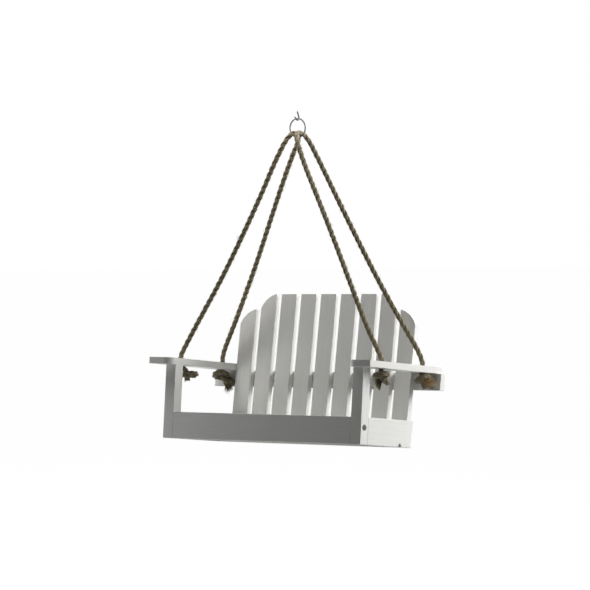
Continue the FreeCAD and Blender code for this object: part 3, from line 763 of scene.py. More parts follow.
@dataclass
class Board:
    """A board as an outline of one face, pulled through its thickness, with eased edges.

    The outline lies in the plane of the axes u and v, and the thickness runs along w.
    grain names the axis that the wood's length follows, and the seed shifts the grain's pattern.
    """

    name: str
    outline: list[Flat]
    thickness: float
    origin: Point
    u: Point
    v: Point
    w: Point
    grain: str
    seed: float
    bores: tuple[Bore, ...] = ()
    ease: float = 0.5
    segments: int = 3
    hole_steps: int = 32
    eased_angle: float = 35.0
    shading_angle: float = 40.0
    end_zone: float = 0.6
    seed_shift: Point = (0.71, 0.37, 0.53)

    @staticmethod
    def close_wall(shape: bmesh.types.BMesh, low: list, high: list) -> None:
        """Quads between two chains of vertices."""
        for (first, second), (third, fourth) in zip(closed_pairs(low), closed_pairs(high)):
            shape.faces.new((first, second, fourth, third))

    @staticmethod
    def cap(shape: bmesh.types.BMesh, chains: list[list]) -> None:
        """Fill the plane between an outer chain and the holes in it."""
        edges = [shape.edges.get(pair) or shape.edges.new(pair)
                 for chain in chains for pair in closed_pairs(chain)]
        bmesh.ops.triangle_fill(shape, use_beauty=True, edges=edges)

    def solid(self) -> bmesh.types.BMesh:
        """The sharp-edged board in its own u, v and w.

        Returns:
            The shape.
        """
        shape = bmesh.new()

        def chain(rim: list[Flat], height: float) -> list:
            """New vertices along an outline at a height."""
            return [shape.verts.new((x, y, height)) for x, y in rim]

        low = chain(self.outline, 0.0)
        high = chain(self.outline, self.thickness)
        self.close_wall(shape, low, high)
        low_holes, high_holes = [], []
        for bore in self.bores:
            rim = bore.rim(self.hole_steps)
            top = chain(rim, self.thickness)
            bottom = chain(rim, 0.0 if bore.depth is None else self.thickness - bore.depth)
            high_holes.append(top)
            self.close_wall(shape, bottom, top)
            if bore.depth is None:
                low_holes.append(bottom)
            else:
                shape.faces.new(bottom)
        self.cap(shape, [low, *low_holes])
        self.cap(shape, [high, *high_holes])
        bmesh.ops.recalc_face_normals(shape, faces=shape.faces)
        return shape

    def eased(self) -> tuple[bmesh.types.BMesh, set[int]]:
        """The board with rounded edges, and the vertices that lie on the rounding alone.

        Returns:
            The shape and the numbers of those vertices.
        """
        shape = self.solid()
        limit = math.radians(self.eased_angle)
        sharp = [edge for edge in shape.edges
                 if len(edge.link_faces) == 2 and edge.calc_face_angle() > limit]
        result = bmesh.ops.bevel(
            shape, geom=sharp, offset=self.ease, offset_type="OFFSET", segments=self.segments,
            profile=0.5, affect="EDGES", clamp_overlap=True,
        )
        rounded = set(result["faces"])
        shape.verts.index_update()
        worn = {vert.index for vert in shape.verts if all(face in rounded for face in vert.link_faces)}
        return shape, worn

    def placed(self) -> Matrix:
        """The board's own axes in the row frame."""
        axes = Matrix((self.u, self.v, self.w)).transposed().to_4x4()
        return HANGING.matrix @ Matrix.Translation(Vector(self.origin)) @ axes

    def build(self, finish: bpy.types.Material) -> bpy.types.Object:
        """Make the piece, with the values that its paint reads.

        Args:
            finish: The board's paint.

        Returns:
            The piece.
        """
        shape, worn = self.eased()
        spots = np.array([vert.co for vert in shape.verts])
        axis = "uvw".index(self.grain)
        order = [axis] + [other for other in range(3) if other != axis]
        board = spots[:, order] * MM + self.seed * np.array(self.seed_shift)
        along = spots[:, axis]
        zone = self.ease * self.end_zone
        end = ((along < along.min() + zone) | (along > along.max() - zone)).astype(float)
        wear = np.zeros(len(spots))
        wear[list(worn)] = 1.0
        shape.transform(self.placed())
        data = bpy.data.meshes.new(self.name)
        shape.to_mesh(data)
        shape.free()
        for value_name, value in (("wear", wear), ("end", end)):
            data.attributes.new(value_name, "FLOAT", "POINT").data.foreach_set("value", value)
        data.attributes.new("board", "FLOAT_VECTOR", "POINT").data.foreach_set("vector", board.ravel())
        if self.placed().determinant() < 0:
            data.flip_normals()
        data.shade_smooth()
        data.set_sharp_from_angle(angle=math.radians(self.shading_angle))
        piece = stand(f"{self.name}_wood", data, "seat", finish, (self.name,), smooth=False)
        weigh = piece.modifiers.new("even_shading", "WEIGHTED_NORMAL")
        weigh.keep_sharp = True
        return piece


@dataclass
class SeatBox:
    """Posts, apron, side boards, rail, cleats and seat boards. Sizes in mm."""

    finish: bpy.types.Material
    width: float = 320.0
    post: float = 16.0
    post_height: float = 98.0
    board_height: float = 35.0
    board: float = 10.0
    side_length: float = 93.0
    rail: float = 18.0
    rail_inset: float = 7.0
    recline: float = 4.2
    screw_height: float = 21.5
    counterbore: float = 8.2
    counterbore_depth: float = 6.0
    seat_width: float = 25.0
    seat_thickness: float = 8.6
    seat_drop: float = 2.0
    seat_play: float = 0.6
    cleat: float = 12.0
    seat_count: int = 3

    def build(self) -> None:
        """Build every board of the seat."""
        for side in Side:
            self.build_post(side)
            self.build_side(side)
        self.build_apron()
        self.build_rail()
        self.build_seat_boards()

    def build_post(self, side: Side) -> None:
        """A square post, counterbored on its outer side.

        Args:
            side: Which side.
        """
        bore = Bore(self.post / 2, self.screw_height, self.counterbore, self.counterbore_depth)
        inner = side.value * (self.width / 2 - self.post)
        Board(
            f"front_post_{side.word}", rectangle(self.post, self.post_height), self.post,
            (inner, 0.0, 0.0), BACKWARD, UPWARD, side.outward, "v", 2.0 + side.value, (bore,),
        ).build(self.finish)

    def build_side(self, side: Side) -> None:
        """The board behind a post, and the cleat on its inner face that carries the seat boards.

        Args:
            side: Which side.
        """
        half = self.width / 2
        under_seat = self.board_height - self.seat_drop - self.seat_thickness - self.cleat
        for name, thickness, height, outer, bottom, seed in (
            ("side_board", self.board, self.board_height, half, 0.0, 5.0),
            ("seat_cleat", self.cleat, self.cleat, half - self.board, under_seat, 8.0),
        ):
            left = side.value * (outer - thickness / 2) - thickness / 2
            Board(
                f"{name}_{side.word}", rectangle(self.side_length, height), thickness,
                (left, self.post, bottom), BACKWARD, UPWARD, RIGHTWARD, "u", seed + side.value,
            ).build(self.finish)

    def build_apron(self) -> None:
        """The board between the posts."""
        length = self.width - 2 * self.post
        Board(
            "front_apron", rectangle(length, self.board_height), self.board,
            (-length / 2, self.board, 0.0), RIGHTWARD, UPWARD, FORWARD, "u", 11.0,
        ).build(self.finish)

    def build_rail(self) -> None:
        """The rear rail, whose rear face leans with the slats."""
        foot = self.rail - self.board_height * math.tan(math.radians(self.recline))
        section = [(0.0, 0.0), (foot, 0.0), (self.rail, self.board_height), (0.0, self.board_height)]
        length = self.width - 2 * self.rail_inset
        Board(
            "rear_rail", section, length, (-length / 2, self.post + self.side_length, 0.0),
            BACKWARD, UPWARD, RIGHTWARD, "w", 12.0,
        ).build(self.finish)

    def build_seat_boards(self) -> None:
        """The boards that are sat on, evenly spread between posts and rail."""
        length = self.width - 2 * self.board - self.seat_play
        gap = (self.side_length - self.seat_count * self.seat_width) / (self.seat_count + 1)
        bottom = self.board_height - self.seat_drop - self.seat_thickness
        for index in range(self.seat_count):
            front = self.post + gap + index * (self.seat_width + gap)
            Board(
                f"seat_board_{index + 1}", rectangle(length, self.seat_width), self.seat_thickness,
                (-length / 2, front, bottom), RIGHTWARD, BACKWARD, UPWARD, "u", 14.0 + index,
            ).build(self.finish)


@dataclass
class BackRest:
    """Nine slats on the rail and the crossbar behind them. Sizes in mm."""

    finish: bpy.types.Material
    rail_rear: float = 127.0
    board_height: float = 35.0
    recline: float = 4.2
    slat_width: float = 24.8
    slat_thickness: float = 8.6
    slat_length: float = 198.0
    slat_step: float = 21.0
    corner_width: float = 23.2
    corner_drop: float = 19.6
    corner_swell: float = 2.5
    corner_steps: int = 10
    slat_foot: float = 4.0
    slat_count: int = 9
    outermost: float = 131.2
    bar_height: float = 22.0
    bar_thickness: float = 10.0
    bar_length: float = 370.0
    bar_top: float = 98.0

    @property
    def lean(self) -> float:
        """The slats' lean in radians."""
        return math.radians(self.recline)

    def build(self) -> None:
        """Build the slats and the crossbar."""
        for number in range(1, self.slat_count + 1):
            self.build_slat(number)
        self.build_crossbar()

    def rear(self, height: float) -> float:
        """Depth of the slats' rear faces at a height."""
        front = self.rail_rear + (height - self.board_height) * math.tan(self.lean)
        return front + self.slat_thickness / math.cos(self.lean)

    def slat_outline(self, number: int) -> list[Flat]:
        """The outline of a slat's face: the outer two of each side have a rounded outer corner.

        Args:
            number: The slat, counted from the left.

        Returns:
            The outline.
        """
        wide = self.slat_width
        outermost = number in (1, self.slat_count)
        tall = self.slat_length - (self.slat_step if outermost else 0.0)
        if 2 < number < self.slat_count - 1:
            return rectangle(wide, tall)
        share = np.linspace(0.0, 1.0, self.corner_steps + 1)
        swell = 4 * self.corner_swell * share * (1 - share)
        across = self.corner_width * (1 - share) - swell
        up = tall - self.corner_drop * share + swell
        arc = [(float(x), float(z)) for x, z in zip(across, up)]
        if number <= 2:
            return [(0.0, 0.0), (wide, 0.0), (wide, tall), *arc]
        return [(0.0, 0.0), (wide, 0.0), *[(wide - x, z) for x, z in reversed(arc)], (0.0, tall)]

    def build_slat(self, number: int) -> None:
        """One slat, standing on its foot and leaning back.

        Args:
            number: The slat, counted from the left.
        """
        half_count = (self.slat_count - 1) / 2
        middle = (number - 1 - half_count) / half_count * self.outermost
        rise = (0.0, math.sin(self.lean), math.cos(self.lean))
        thick = (0.0, -math.cos(self.lean), math.sin(self.lean))
        Board(
            f"back_slat_{number}", self.slat_outline(number), self.slat_thickness,
            (middle - self.slat_width / 2, self.rear(self.slat_foot), self.slat_foot),
            RIGHTWARD, rise, thick, "v", 20.0 + number,
        ).build(self.finish)

    def build_crossbar(self) -> None:
        """The bar behind the slats, out under both arms."""
        slant = self.bar_height * math.tan(self.lean)
        deep = self.bar_thickness / math.cos(self.lean)
        section = [(0.0, 0.0), (deep, 0.0), (deep + slant, self.bar_height), (slant, self.bar_height)]
        bottom = self.bar_top - self.bar_height
        Board(
            "back_crossbar", section, self.bar_length, (-self.bar_length / 2, self.rear(bottom), bottom),
            BACKWARD, UPWARD, RIGHTWARD, "w", 31.0,
        ).build(self.finish)


@dataclass
class Arms:
    """The two arm boards with the holes that the ropes go through. Sizes in mm."""

    finish: bpy.types.Material
    inner: float = 144.0
    width: float = 35.0
    thickness: float = 8.6
    front: float = 12.5
    length: float = 162.98
    corner: float = 11.0
    corner_steps: int = 10
    bottom: float = 98.0
    hole: float = 9.0
    hole_inset: float = 20.0
    ease: float = 0.9

    def build(self) -> None:
        """Build both arms: the inner front corner is rounded, and the edges are eased."""
        angles = np.radians(np.linspace(180.0, 270.0, self.corner_steps + 1))
        arc = [(self.corner + self.corner * math.cos(a), self.corner + self.corner * math.sin(a))
               for a in angles]
        outline = [*arc, (self.width, 0.0), (self.width, self.length), (0.0, self.length)]
        bores = tuple(Bore(self.hole_inset, end.value + self.front, self.hole) for end in End)
        for side in Side:
            Board(
                f"arm_{side.word}", outline, self.thickness,
                (side.value * self.inner, -self.front, self.bottom), side.outward, BACKWARD, UPWARD,
                "v", 34.0 + side.value, bores, self.ease,
            ).build(self.finish)


# Rope


@dataclass(frozen=True)
class RopeLay:
    """How a three-strand rope is laid. Lengths in mm.

    The strands carry painted shade. It is darker in the grooves between them, starting inside shade_reach
    and full shade_depth further in, both as shares of the diameter, up to darkest_shade. outer_shade is
    painted shade over the whole outside.
    """

    diameter: float = 6.8
    lay: float = 27.0
    strands: int = 3
    strand_radius: float = 1.78
    strand_offset: float = 1.62
    yarns: int = 6
    yarn_swell: float = 0.07
    yarn_lay: float = 19.0
    around: int = 22
    step: float = 0.9
    # painted shade in the grooves between the strands, and over the whole outside
    shade_reach: float = 0.44
    shade_depth: float = 0.2
    darkest_shade: float = 0.75
    outer_shade: float = 0.0
    pattern_shift: float = 0.31

    def strand_line(self, line: np.ndarray, number: int) -> np.ndarray:
        """The middle line of one strand on its helix round the rope's line.

        Args:
            line: The rope's middle line.
            number: Which strand.

        Returns:
            The strand's middle line.
        """
        _, first, second = carried_frames(line)
        turn = 2 * math.pi * (along_line(line) / self.lay + number / self.strands)
        return line + self.strand_offset * (np.cos(turn)[:, None] * first + np.sin(turn)[:, None] * second)

    def add_strands(self, surface: Surface, line: np.ndarray, seed: float,
                    swell: np.ndarray | None = None) -> None:
        """Lay the strands along a line.

        Args:
            surface: Where the strands go.
            line: The rope's middle line in the seat frame, evenly spaced, in mm.
            seed: Shifts the fibres' pattern.
            swell: Scale of the strands' thickness at each point.
        """
        angle = circle_angles(self.around)
        for number in range(self.strands):
            middle = self.strand_line(line, number)
            _, first, second = carried_frames(middle)
            along = along_line(middle)
            yarn = self.yarns * (angle[None, :] - 2 * math.pi * along[:, None] / self.yarn_lay)
            radius = self.strand_radius * (1 + self.yarn_swell * np.cos(yarn))
            if swell is not None:
                radius = radius * swell[:, None]
            rings = middle[:, None, :] + spokes(first, second, angle) * radius[:, :, None]
            away = np.linalg.norm(rings - line[:, None, :], axis=2) / self.diameter
            # painted shade: darker deeper in the grooves, and darker all over where an outer shade is set
            groove_shade = np.clip((self.shade_reach - away) / self.shade_depth, 0.0, 1.0)
            deep = self.outer_shade + (self.darkest_shade - self.outer_shade) * groove_shade
            lay = np.stack(np.broadcast_arrays(
                along[:, None] * MM + seed,
                (angle / (2 * math.pi))[None, :] + number * self.pattern_shift,
                number + seed,
            ), axis=2)
            surface.add(rings.reshape(-1, 3), tube_faces(len(middle), self.around),
                        lay=lay.reshape(-1, 3), deep=deep.ravel())


@dataclass(frozen=True)
class Hair:
    """Loose fibres. Lengths in mm."""

    thickness: float = 0.16
    tip: float = 0.45
    around: int = 3
    steps: int = 6
    pattern_shift: float = 7.3

    def add(self, surface: Surface, root: np.ndarray, heading: np.ndarray, bend: np.ndarray,
            length: float, seed: float) -> None:
        """One fibre that leaves its root and bends aside.

        Args:
            surface: Where it goes.
            root: Where it starts.
            heading: The way it starts, of length one.
            bend: The way it bends, as large as the bend's share of its length.
            length: How long it is.
            seed: Shifts its colour.
        """
        share = np.linspace(0.0, 1.0, self.steps)[:, None]
        line = root + heading * length * share + bend * length * share ** 2
        radii = self.thickness * np.linspace(1.0, self.tip, self.steps)
        points, faces = tube(line, radii, self.around)
        along = share[:, 0] * length * MM + seed
        lay = np.stack(np.broadcast_arrays(along, seed * self.pattern_shift, seed), axis=1)
        surface.add(points, faces, lay=np.repeat(lay, self.around, axis=0), deep=np.zeros(len(points)))


# Control points of the ropes in the seat frame in metres, from the front knot through its hole, over
# the ring's wire and down through the rear hole. Between arm and ring they follow the photograph.
ROPE_ROUTES: dict[Side, tuple[Point, ...]] = {
    Side.LEFT: (
        (-0.1640, 0.0340, 0.0977),
        (-0.164, 0.034, 0.109),
        (-0.158, 0.034, 0.121),
        (-0.135, 0.035, 0.160),
        (-0.098, 0.037, 0.221),
        (-0.048, 0.039, 0.318),
        (-0.024, 0.040, 0.372),
        (-0.0036, 0.0415, 0.4078),
        (-0.0036, 0.0665, 0.4078),
        (-0.025, 0.072, 0.372),
        (-0.064, 0.087, 0.296),
        (-0.093, 0.099, 0.239),
        (-0.137, 0.115, 0.160),
        (-0.159, 0.122, 0.124),
        (-0.164, 0.126, 0.109),
        (-0.1640, 0.1260, 0.0977),
    ),
    Side.RIGHT: (
        (0.1640, 0.0340, 0.0977),
        (0.165, 0.034, 0.108),
        (0.159, 0.034, 0.119),
        (0.138, 0.035, 0.151),
        (0.110, 0.036, 0.204),
        (0.073, 0.038, 0.274),
        (0.044, 0.039, 0.327),
        (0.019, 0.040, 0.372),
        (0.0036, 0.0415, 0.4078),
        (0.0036, 0.0665, 0.4078),
        (0.024, 0.072, 0.372),
        (0.051, 0.083, 0.318),
        (0.097, 0.101, 0.230),
        (0.130, 0.113, 0.173),
        (0.156, 0.121, 0.133),
        (0.165, 0.124, 0.115),
        (0.165, 0.126, 0.107),
        (0.1640, 0.1260, 0.0977),
    ),
}


@dataclass
class Ropes:
    """Two ropes, each from its front knot over the ring's wire to its rear knot. Sizes in mm."""

    finish: bpy.types.Material
    hair_finish: bpy.types.Material
    rope: RopeLay = field(default_factory=RopeLay)
    hair: Hair = field(default_factory=Hair)
    hair_count: int = 280
    hair_length: Flat = (2.5, 7.0)
    hair_lean: float = 0.9
    bare_ends: int = 6
    bare_above: float = 394.0

    @staticmethod
    def spline_points(name: str, route: tuple[Point, ...]) -> np.ndarray:
        """Points read from the route's spline, in the row frame in metres.

        Args:
            name: A name for the spline.
            route: Its control points, in the seat frame.

        Returns:
            The points, one row each.
        """
        curve = bpy.data.curves.new(name, "CURVE")
        curve.dimensions = "3D"
        curve.resolution_u = 48
        spline = curve.splines.new("NURBS")
        spline.points.add(len(route) - 1)
        for point, spot in zip(spline.points, route):
            point.co = (*(HANGING.matrix @ (Vector(spot) / MM)), 1.0)
        spline.order_u = 3
        spline.use_endpoint_u = True
        holder = bpy.data.objects.new(name, curve)
        line = bpy.data.meshes.new_from_object(holder)
        points = np.array([vert.co for vert in line.vertices])
        bpy.data.objects.remove(holder)
        bpy.data.meshes.remove(line)
        bpy.data.curves.remove(curve)
        return points

    def build(self, side: Side, knots: list[bpy.types.Object]) -> None:
        """Build one rope and its loose hairs.

        Args:
            side: Which rope.
            knots: The knots at its two ends; not used.
        """
        name = f"rope_{side.word}"
        path = self.spline_points(name, ROPE_ROUTES[side])
        line = evenly(moved(path, HANGING.matrix.inverted()), self.rope.step)
        surface = Surface()
        self.rope.add_strands(surface, line, 3.0 + side.value)
        piece = stand_on_seat(f"{name}_strands", surface, Slot.ROPE, self.finish, name)
        hairs = self.build_hairs(side, line)

    def build_hairs(self, side: Side, line: np.ndarray) -> bpy.types.Object:
        """Short fibres that stand off the rope, none where they would touch the ring.

        Args:
            side: Which rope.
            line: Its middle line.

        Returns:
            The piece.
        """
        draw = random.Random(71 + side.value)
        tangents, first, second = carried_frames(line)
        surface = Surface()
        for _ in range(self.hair_count):
            spot = draw.randrange(self.bare_ends, len(line) - self.bare_ends)
            turn = draw.uniform(0.0, 2 * math.pi)
            out = math.cos(turn) * first[spot] + math.sin(turn) * second[spot]
            onward = self.hair_lean if draw.uniform(-1.0, 1.0) > 0 else -self.hair_lean
            heading = unit(tangents[spot] * onward + out * draw.uniform(0.25, 0.6))
            root = line[spot] + out * self.rope.diameter * self.rope.shade_reach
            bend = out * draw.uniform(-0.25, 0.15) + np.array([0.0, 0.0, draw.uniform(-0.2, 0.05)])
            length, shade = draw.uniform(*self.hair_length), draw.random()
            if line[spot][2] < self.bare_above:
                self.hair.add(surface, root, heading, bend, length, shade)
        return stand_on_seat(f"rope_{side.word}_hairs", surface, Slot.ROPE, self.hair_finish)


@dataclass
class KnotTying:
    """Ties an overhand knot by pulling a loose one tight. Lengths in mm, angles in degrees."""

    in_knot: float
    step: float = 1.3
    clearance: float = 7.1
    contact: float = 1.12
    slack_loop: float = 6.5
    loop_steps: int = 200
    opening: float = 38.0
    first_ends: float = 30.0
    tail_bend: float = 4.0
    pulling: int = 150
    settling: int = 100
    passes: int = 8
    smoothing: float = 0.1
    pushing: float = 0.175

    def loose(self) -> np.ndarray:
        """A wide overhand knot with straight ends, standing along Z.

        Returns:
            Points a step apart.
        """
        cut = math.radians(self.opening)
        start = math.pi / 3
        t = np.linspace(start + cut, start + 2 * math.pi - cut, self.loop_steps)
        trefoil = [np.sin(t) + 2 * np.sin(2 * t), np.cos(t) - 2 * np.cos(2 * t), -np.sin(3 * t)]
        loop = self.slack_loop * np.stack(trefoil, axis=1)
        head = unit(loop[0] - loop[1])
        tail = unit(loop[-1] - loop[-2])
        reach = np.arange(1.0, self.first_ends + 1.0)[:, None]
        line = np.concatenate([(loop[0] + head * reach)[::-1], loop, loop[-1] + tail * reach])
        line = evenly(line, self.step)
        up = unit(line[0] - line[-1])
        aside = unit(np.cross([0.3, 1.0, 0.1], up))
        return (line - line.mean(axis=0)) @ np.stack([aside, np.cross(up, aside), up]).T

    def pairs(self, count: int, margin: int = 0) -> tuple[np.ndarray, np.ndarray]:
        """The pairs of points that lie too far apart along the rope to touch by its bending alone."""
        return np.triu_indices(count, int(math.ceil(math.pi / 2 * self.clearance / self.step)) + margin)

    def relax(self, line: np.ndarray, first: np.ndarray, last: np.ndarray, rounds: int) -> np.ndarray:
        """Move the two ends in steps while the rope keeps its length and its distance to itself.

        Args:
            line: Points of the rope a step apart.
            first: Where the first point goes.
            last: Where the last point goes.
            rounds: Over how many steps.

        Returns:
            The moved points.
        """
        line = line.copy()
        low, high = self.pairs(len(line))
        from_first, from_last = line[0].copy(), line[-1].copy()
        for turn in range(1, rounds + 1):
            share = turn / rounds
            for _ in range(self.passes):
                line[0] = from_first + (first - from_first) * share
                line[-1] = from_last + (last - from_last) * share
                line[1:-1] += self.smoothing * (0.5 * (line[:-2] + line[2:]) - line[1:-1])
                for parity in (0, 1):
                    self.keep_lengths(line, parity)
                gap = line[high] - line[low]
                size = np.sqrt((gap * gap).sum(axis=1))
                close = size < self.clearance
                lack = (self.clearance - size[close]) / np.maximum(size[close], TINY)
                push = self.pushing * lack[:, None] * gap[close]
                np.add.at(line, low[close], -push)
                np.add.at(line, high[close], push)
        return line

    def keep_lengths(self, line: np.ndarray, parity: int) -> None:
        """Bring every second link back to its length.

        Args:
            line: The rope, which is changed.
            parity: The first link, 0 or 1.
        """
        upper = line[parity + 1::2]
        lower = line[parity::2][:len(upper)]
        gap = upper - lower
        size = np.linalg.norm(gap, axis=1, keepdims=True)
        shift = 0.5 * (size - self.step) / np.maximum(size, TINY) * gap
        line[parity::2][:len(upper)] += shift
        line[parity + 1::2] -= shift

    def pulled(self) -> np.ndarray:
        """The knot pulled tight until only the wanted length of rope is left in it.

        Returns:
            The rope's middle line.
        """
        line = self.loose()
        half = (self.step * (len(line) - 1) - self.in_knot) / 2
        top, bottom = np.array([0.0, 0.0, half]), np.array([0.0, 0.0, -half])
        line = self.relax(line, top, bottom, self.pulling)
        return self.relax(line, top, bottom, self.settling)

    def touching(self, line: np.ndarray) -> tuple[int, int]:
        """The first and the last point at which the rope lies on itself.

        Args:
            line: The rope's middle line.

        Returns:
            The numbers of the two points.
        """
        low, high = self.pairs(len(line), 2)
        close = np.linalg.norm(line[high] - line[low], axis=1) < self.clearance * self.contact
        return int(low[close].min()), int(high[close].max())

    def stopper(self, tail_aim: np.ndarray, tail: float) -> np.ndarray:
        """The knot from the arm's underside down, and its tail bent aside.

        Args:
            tail_aim: The way the tail ends up.
            tail: How long it is.

        Returns:
            The rope's middle line, with its first point at the origin.
        """
        line = self.pulled()
        first, last = self.touching(line)
        top = line[first + 2:last, 2].max() + self.clearance / 2
        entry = int(np.flatnonzero(line[:, 2] < top)[0])
        points = list(line[entry:last + 1])
        leaving = (points[-1] - points[-2]) / self.step
        aim = unit(tail_aim)
        for number in range(1, int(tail / self.step) + 1):
            share = min(1.0, number * self.step / self.tail_bend)
            points.append(points[-1] + unit(leaving * (1 - share) + aim * share) * self.step)
        return np.array(points) - points[0]


@dataclass(frozen=True)
class KnotPlan:
    """How one stopper knot hangs and how its tail lies. Angles in degrees, lengths in mm."""

    end: End
    side: Side
    turn: float
    tilt: float
    tail_aim: Point
    tail: float
    brush: int
    brush_length: float
    brush_spread: float
    # painted highlight: True gives the brush a lighter copy of the fibres' finish, for key light falling on
    # it
    pale: bool = False


@dataclass
class StopperKnots:
    """The four knots under the arms, tied from the same rope, with frayed tails. Sizes in mm."""

    finish: bpy.types.Material
    hair_finish: bpy.types.Material
    pale_finish: bpy.types.Material
    # the knots' strands get painted shade all over, for the shadow under the arms
    rope: RopeLay = field(
        default_factory=lambda: RopeLay(7.4, strand_radius=1.95, strand_offset=1.76, outer_shade=0.4))
    hair: Hair = field(default_factory=lambda: Hair(thickness=0.2))
    in_knot: float = 88.0
    under_arm: float = 97.7
    entry_points: int = 8
    entry_length: float = 8.0
    entry_swell: float = 0.8
    brush_core: float = 0.45
    plans: tuple[KnotPlan, ...] = (
        KnotPlan(End.FRONT, Side.LEFT, 86.0, -18.0, (-0.1, 0.0, -1.0), 5.0, 60, 3.2, 0.6),
        KnotPlan(End.REAR, Side.LEFT, 106.0, 0.0, (0.85, 0.1, -0.6), 7.0, 340, 8.0, 1.1),
        KnotPlan(End.FRONT, Side.RIGHT, 150.0, 14.0, (-0.6, -0.5, -0.6), 4.0, 420, 7.0, 1.7),
        KnotPlan(End.REAR, Side.RIGHT, 140.0, 0.0, (1.0, -0.5, 0.9), 13.0, 620, 9.5, 1.5, True),
    )

    def build(self) -> dict[Side, list[bpy.types.Object]]:
        """Build the knots.

        Returns:
            The pieces of each side's rope ends.
        """
        pieces: dict[Side, list[bpy.types.Object]] = {side: [] for side in Side}
        for number, plan in enumerate(self.plans):
            pieces[plan.side] += self.build_knot(plan, number)
        return pieces

    def build_knot(self, plan: KnotPlan, number: int) -> list[bpy.types.Object]:
        """One knot, let down until it clears the arm, and its brush of loose fibres.

        Args:
            plan: How it hangs.
            number: Shifts its pattern and its fibres.

        Returns:
            The knot and the brush.
        """
        turn = np.array(Matrix.Rotation(math.radians(plan.turn), 3, "Z"))
        tilt = np.array(Matrix.Rotation(math.radians(plan.tilt), 3, "Y"))
        aim = np.array(plan.tail_aim) @ turn
        line = KnotTying(self.in_knot).stopper(aim, plan.tail) @ turn.T @ tilt.T
        above = max(0.0, float(line[self.entry_points:, 2].max()) + self.rope.diameter / 2)
        line[:, 2] -= above * np.clip(along_line(line) / self.entry_length, 0.0, 1.0)
        origin = np.array([plan.side.value * HANGING.hole_middle, plan.end.value, self.under_arm])
        line = evenly(line + origin, self.rope.step)
        name = f"stopper_knot_{plan.end.word}_{plan.side.word}"
        surface = Surface()
        swell = np.minimum(1.0, self.entry_swell + np.arange(len(line)) / self.entry_points)
        self.rope.add_strands(surface, line, 11.0 + number, swell)
        knot = stand_on_seat(f"{name}_strands", surface, Slot.ROPE, self.finish, name)
        return [knot, self.build_brush(name, line, plan, number)]

    def build_brush(self, name: str, line: np.ndarray, plan: KnotPlan, number: int) -> bpy.types.Object:
        """The frayed end: fibres that fan out from the tail.

        Args:
            name: The knot's name.
            line: The knot's middle line.
            plan: How it hangs.
            number: Seed of its fibres.

        Returns:
            The piece.
        """
        draw = random.Random(400 + number)
        tangents, first, second = carried_frames(line)
        heading, across, over = tangents[-1], first[-1], second[-1]
        core = self.rope.diameter * self.brush_core
        surface = Surface()
        for _ in range(plan.brush):
            radius = core * math.sqrt(draw.random())
            turn = draw.uniform(0.0, 2 * math.pi)
            out = math.cos(turn) * across + math.sin(turn) * over
            root = line[-1] - heading * draw.uniform(0.5, 3.5) + out * radius
            way = unit(heading + out * (radius / core) * plan.brush_spread * draw.uniform(0.4, 1.3))
            sag = np.array([0.0, 0.0, -draw.uniform(0.0, 0.35)]) + out * draw.uniform(-0.25, 0.3)
            length = plan.brush_length * draw.uniform(0.55, 1.1)
            self.hair.add(surface, root, way, sag, length, draw.random())
        # painted highlight: a lit brush takes the lighter copy of the fibres' finish
        finish = self.pale_finish if plan.pale else self.hair_finish
        return stand_on_seat(f"{name}_brush", surface, Slot.ROPE, finish)


# Ring, hook and fasteners


@dataclass
class HangingHardware:
    """The steel ring and the wire hook that carries it. Sizes in mm, the weld's turn in radians."""

    ring_finish: bpy.types.Material
    hook_finish: bpy.types.Material
    ring_steps: int = 160
    weld_turn: float = 2.2
    weld_width: float = 0.07
    weld_swell: float = 0.07
    hook_radius: float = 3.2
    hook_tip: float = 5.5
    tip_angle: float = 40.0
    bend_steps: int = 40
    hook_step: float = 0.25
    around: int = 24

    def build(self) -> None:
        """Build the ring and the hook."""
        self.build_ring()
        self.build_hook()

    def build_ring(self) -> None:
        """The ring, with the bead of its welded joint at the top left."""
        turn = circle_angles(self.ring_steps)
        angle = circle_angles(self.around)
        weld = np.exp(-((turn - self.weld_turn) / self.weld_width) ** 2)
        radius = HANGING.ring_wire / 2 * (1 + self.weld_swell * weld)[:, None]
        reach = HANGING.ring_radius + radius * np.cos(angle)
        points = np.stack([
            np.cos(turn)[:, None] * reach,
            radius * np.sin(angle),
            np.sin(turn)[:, None] * reach + HANGING.ring_height,
        ], axis=2).reshape(-1, 3)
        surface = Surface()
        surface.add(points, ring_faces(self.ring_steps, self.around, closed=True))
        name = "hanging_ring_wire"
        data = surface.mesh(name, Matrix.Scale(MM, 4))
        stand(name, data, "ring", self.ring_finish, ("hanging_ring",))

    def build_hook(self) -> None:
        """The bent wire hook with rounded ends."""
        drop = HANGING.hook_drop
        centre = np.array([0.0, 0.0, self.hook_radius - drop])
        lean = math.asin(self.hook_radius / (drop - self.hook_radius))
        rise = math.radians(self.tip_angle)
        bend = np.linspace(lean, -math.pi / 2 - rise, self.bend_steps)
        arc = centre + self.hook_radius * np.stack([0 * bend, np.cos(bend), np.sin(bend)], axis=1)
        tip = arc[-1] + np.array([0.0, -math.cos(rise), math.sin(rise)]) * self.hook_tip
        line = evenly(np.concatenate([[[0.0, 0.0, 0.0]], arc, [tip]]), self.hook_step)
        along = along_line(line)
        radius = HANGING.hook_wire / 2
        from_end = np.clip(np.minimum(along, along[-1] - along) / (radius / 2), 0.0, 1.0)
        radii = radius * np.sqrt(np.clip(1 - (1 - from_end) ** 2, 0.25, 1.0))
        surface = Surface()
        surface.add(*tube(line, radii, self.around))
        name = "hanging_hook_wire"
        data = surface.mesh(name, Matrix.Scale(MM, 4))
        stand(name, data, "hook", self.hook_finish, ("hanging_hook",))


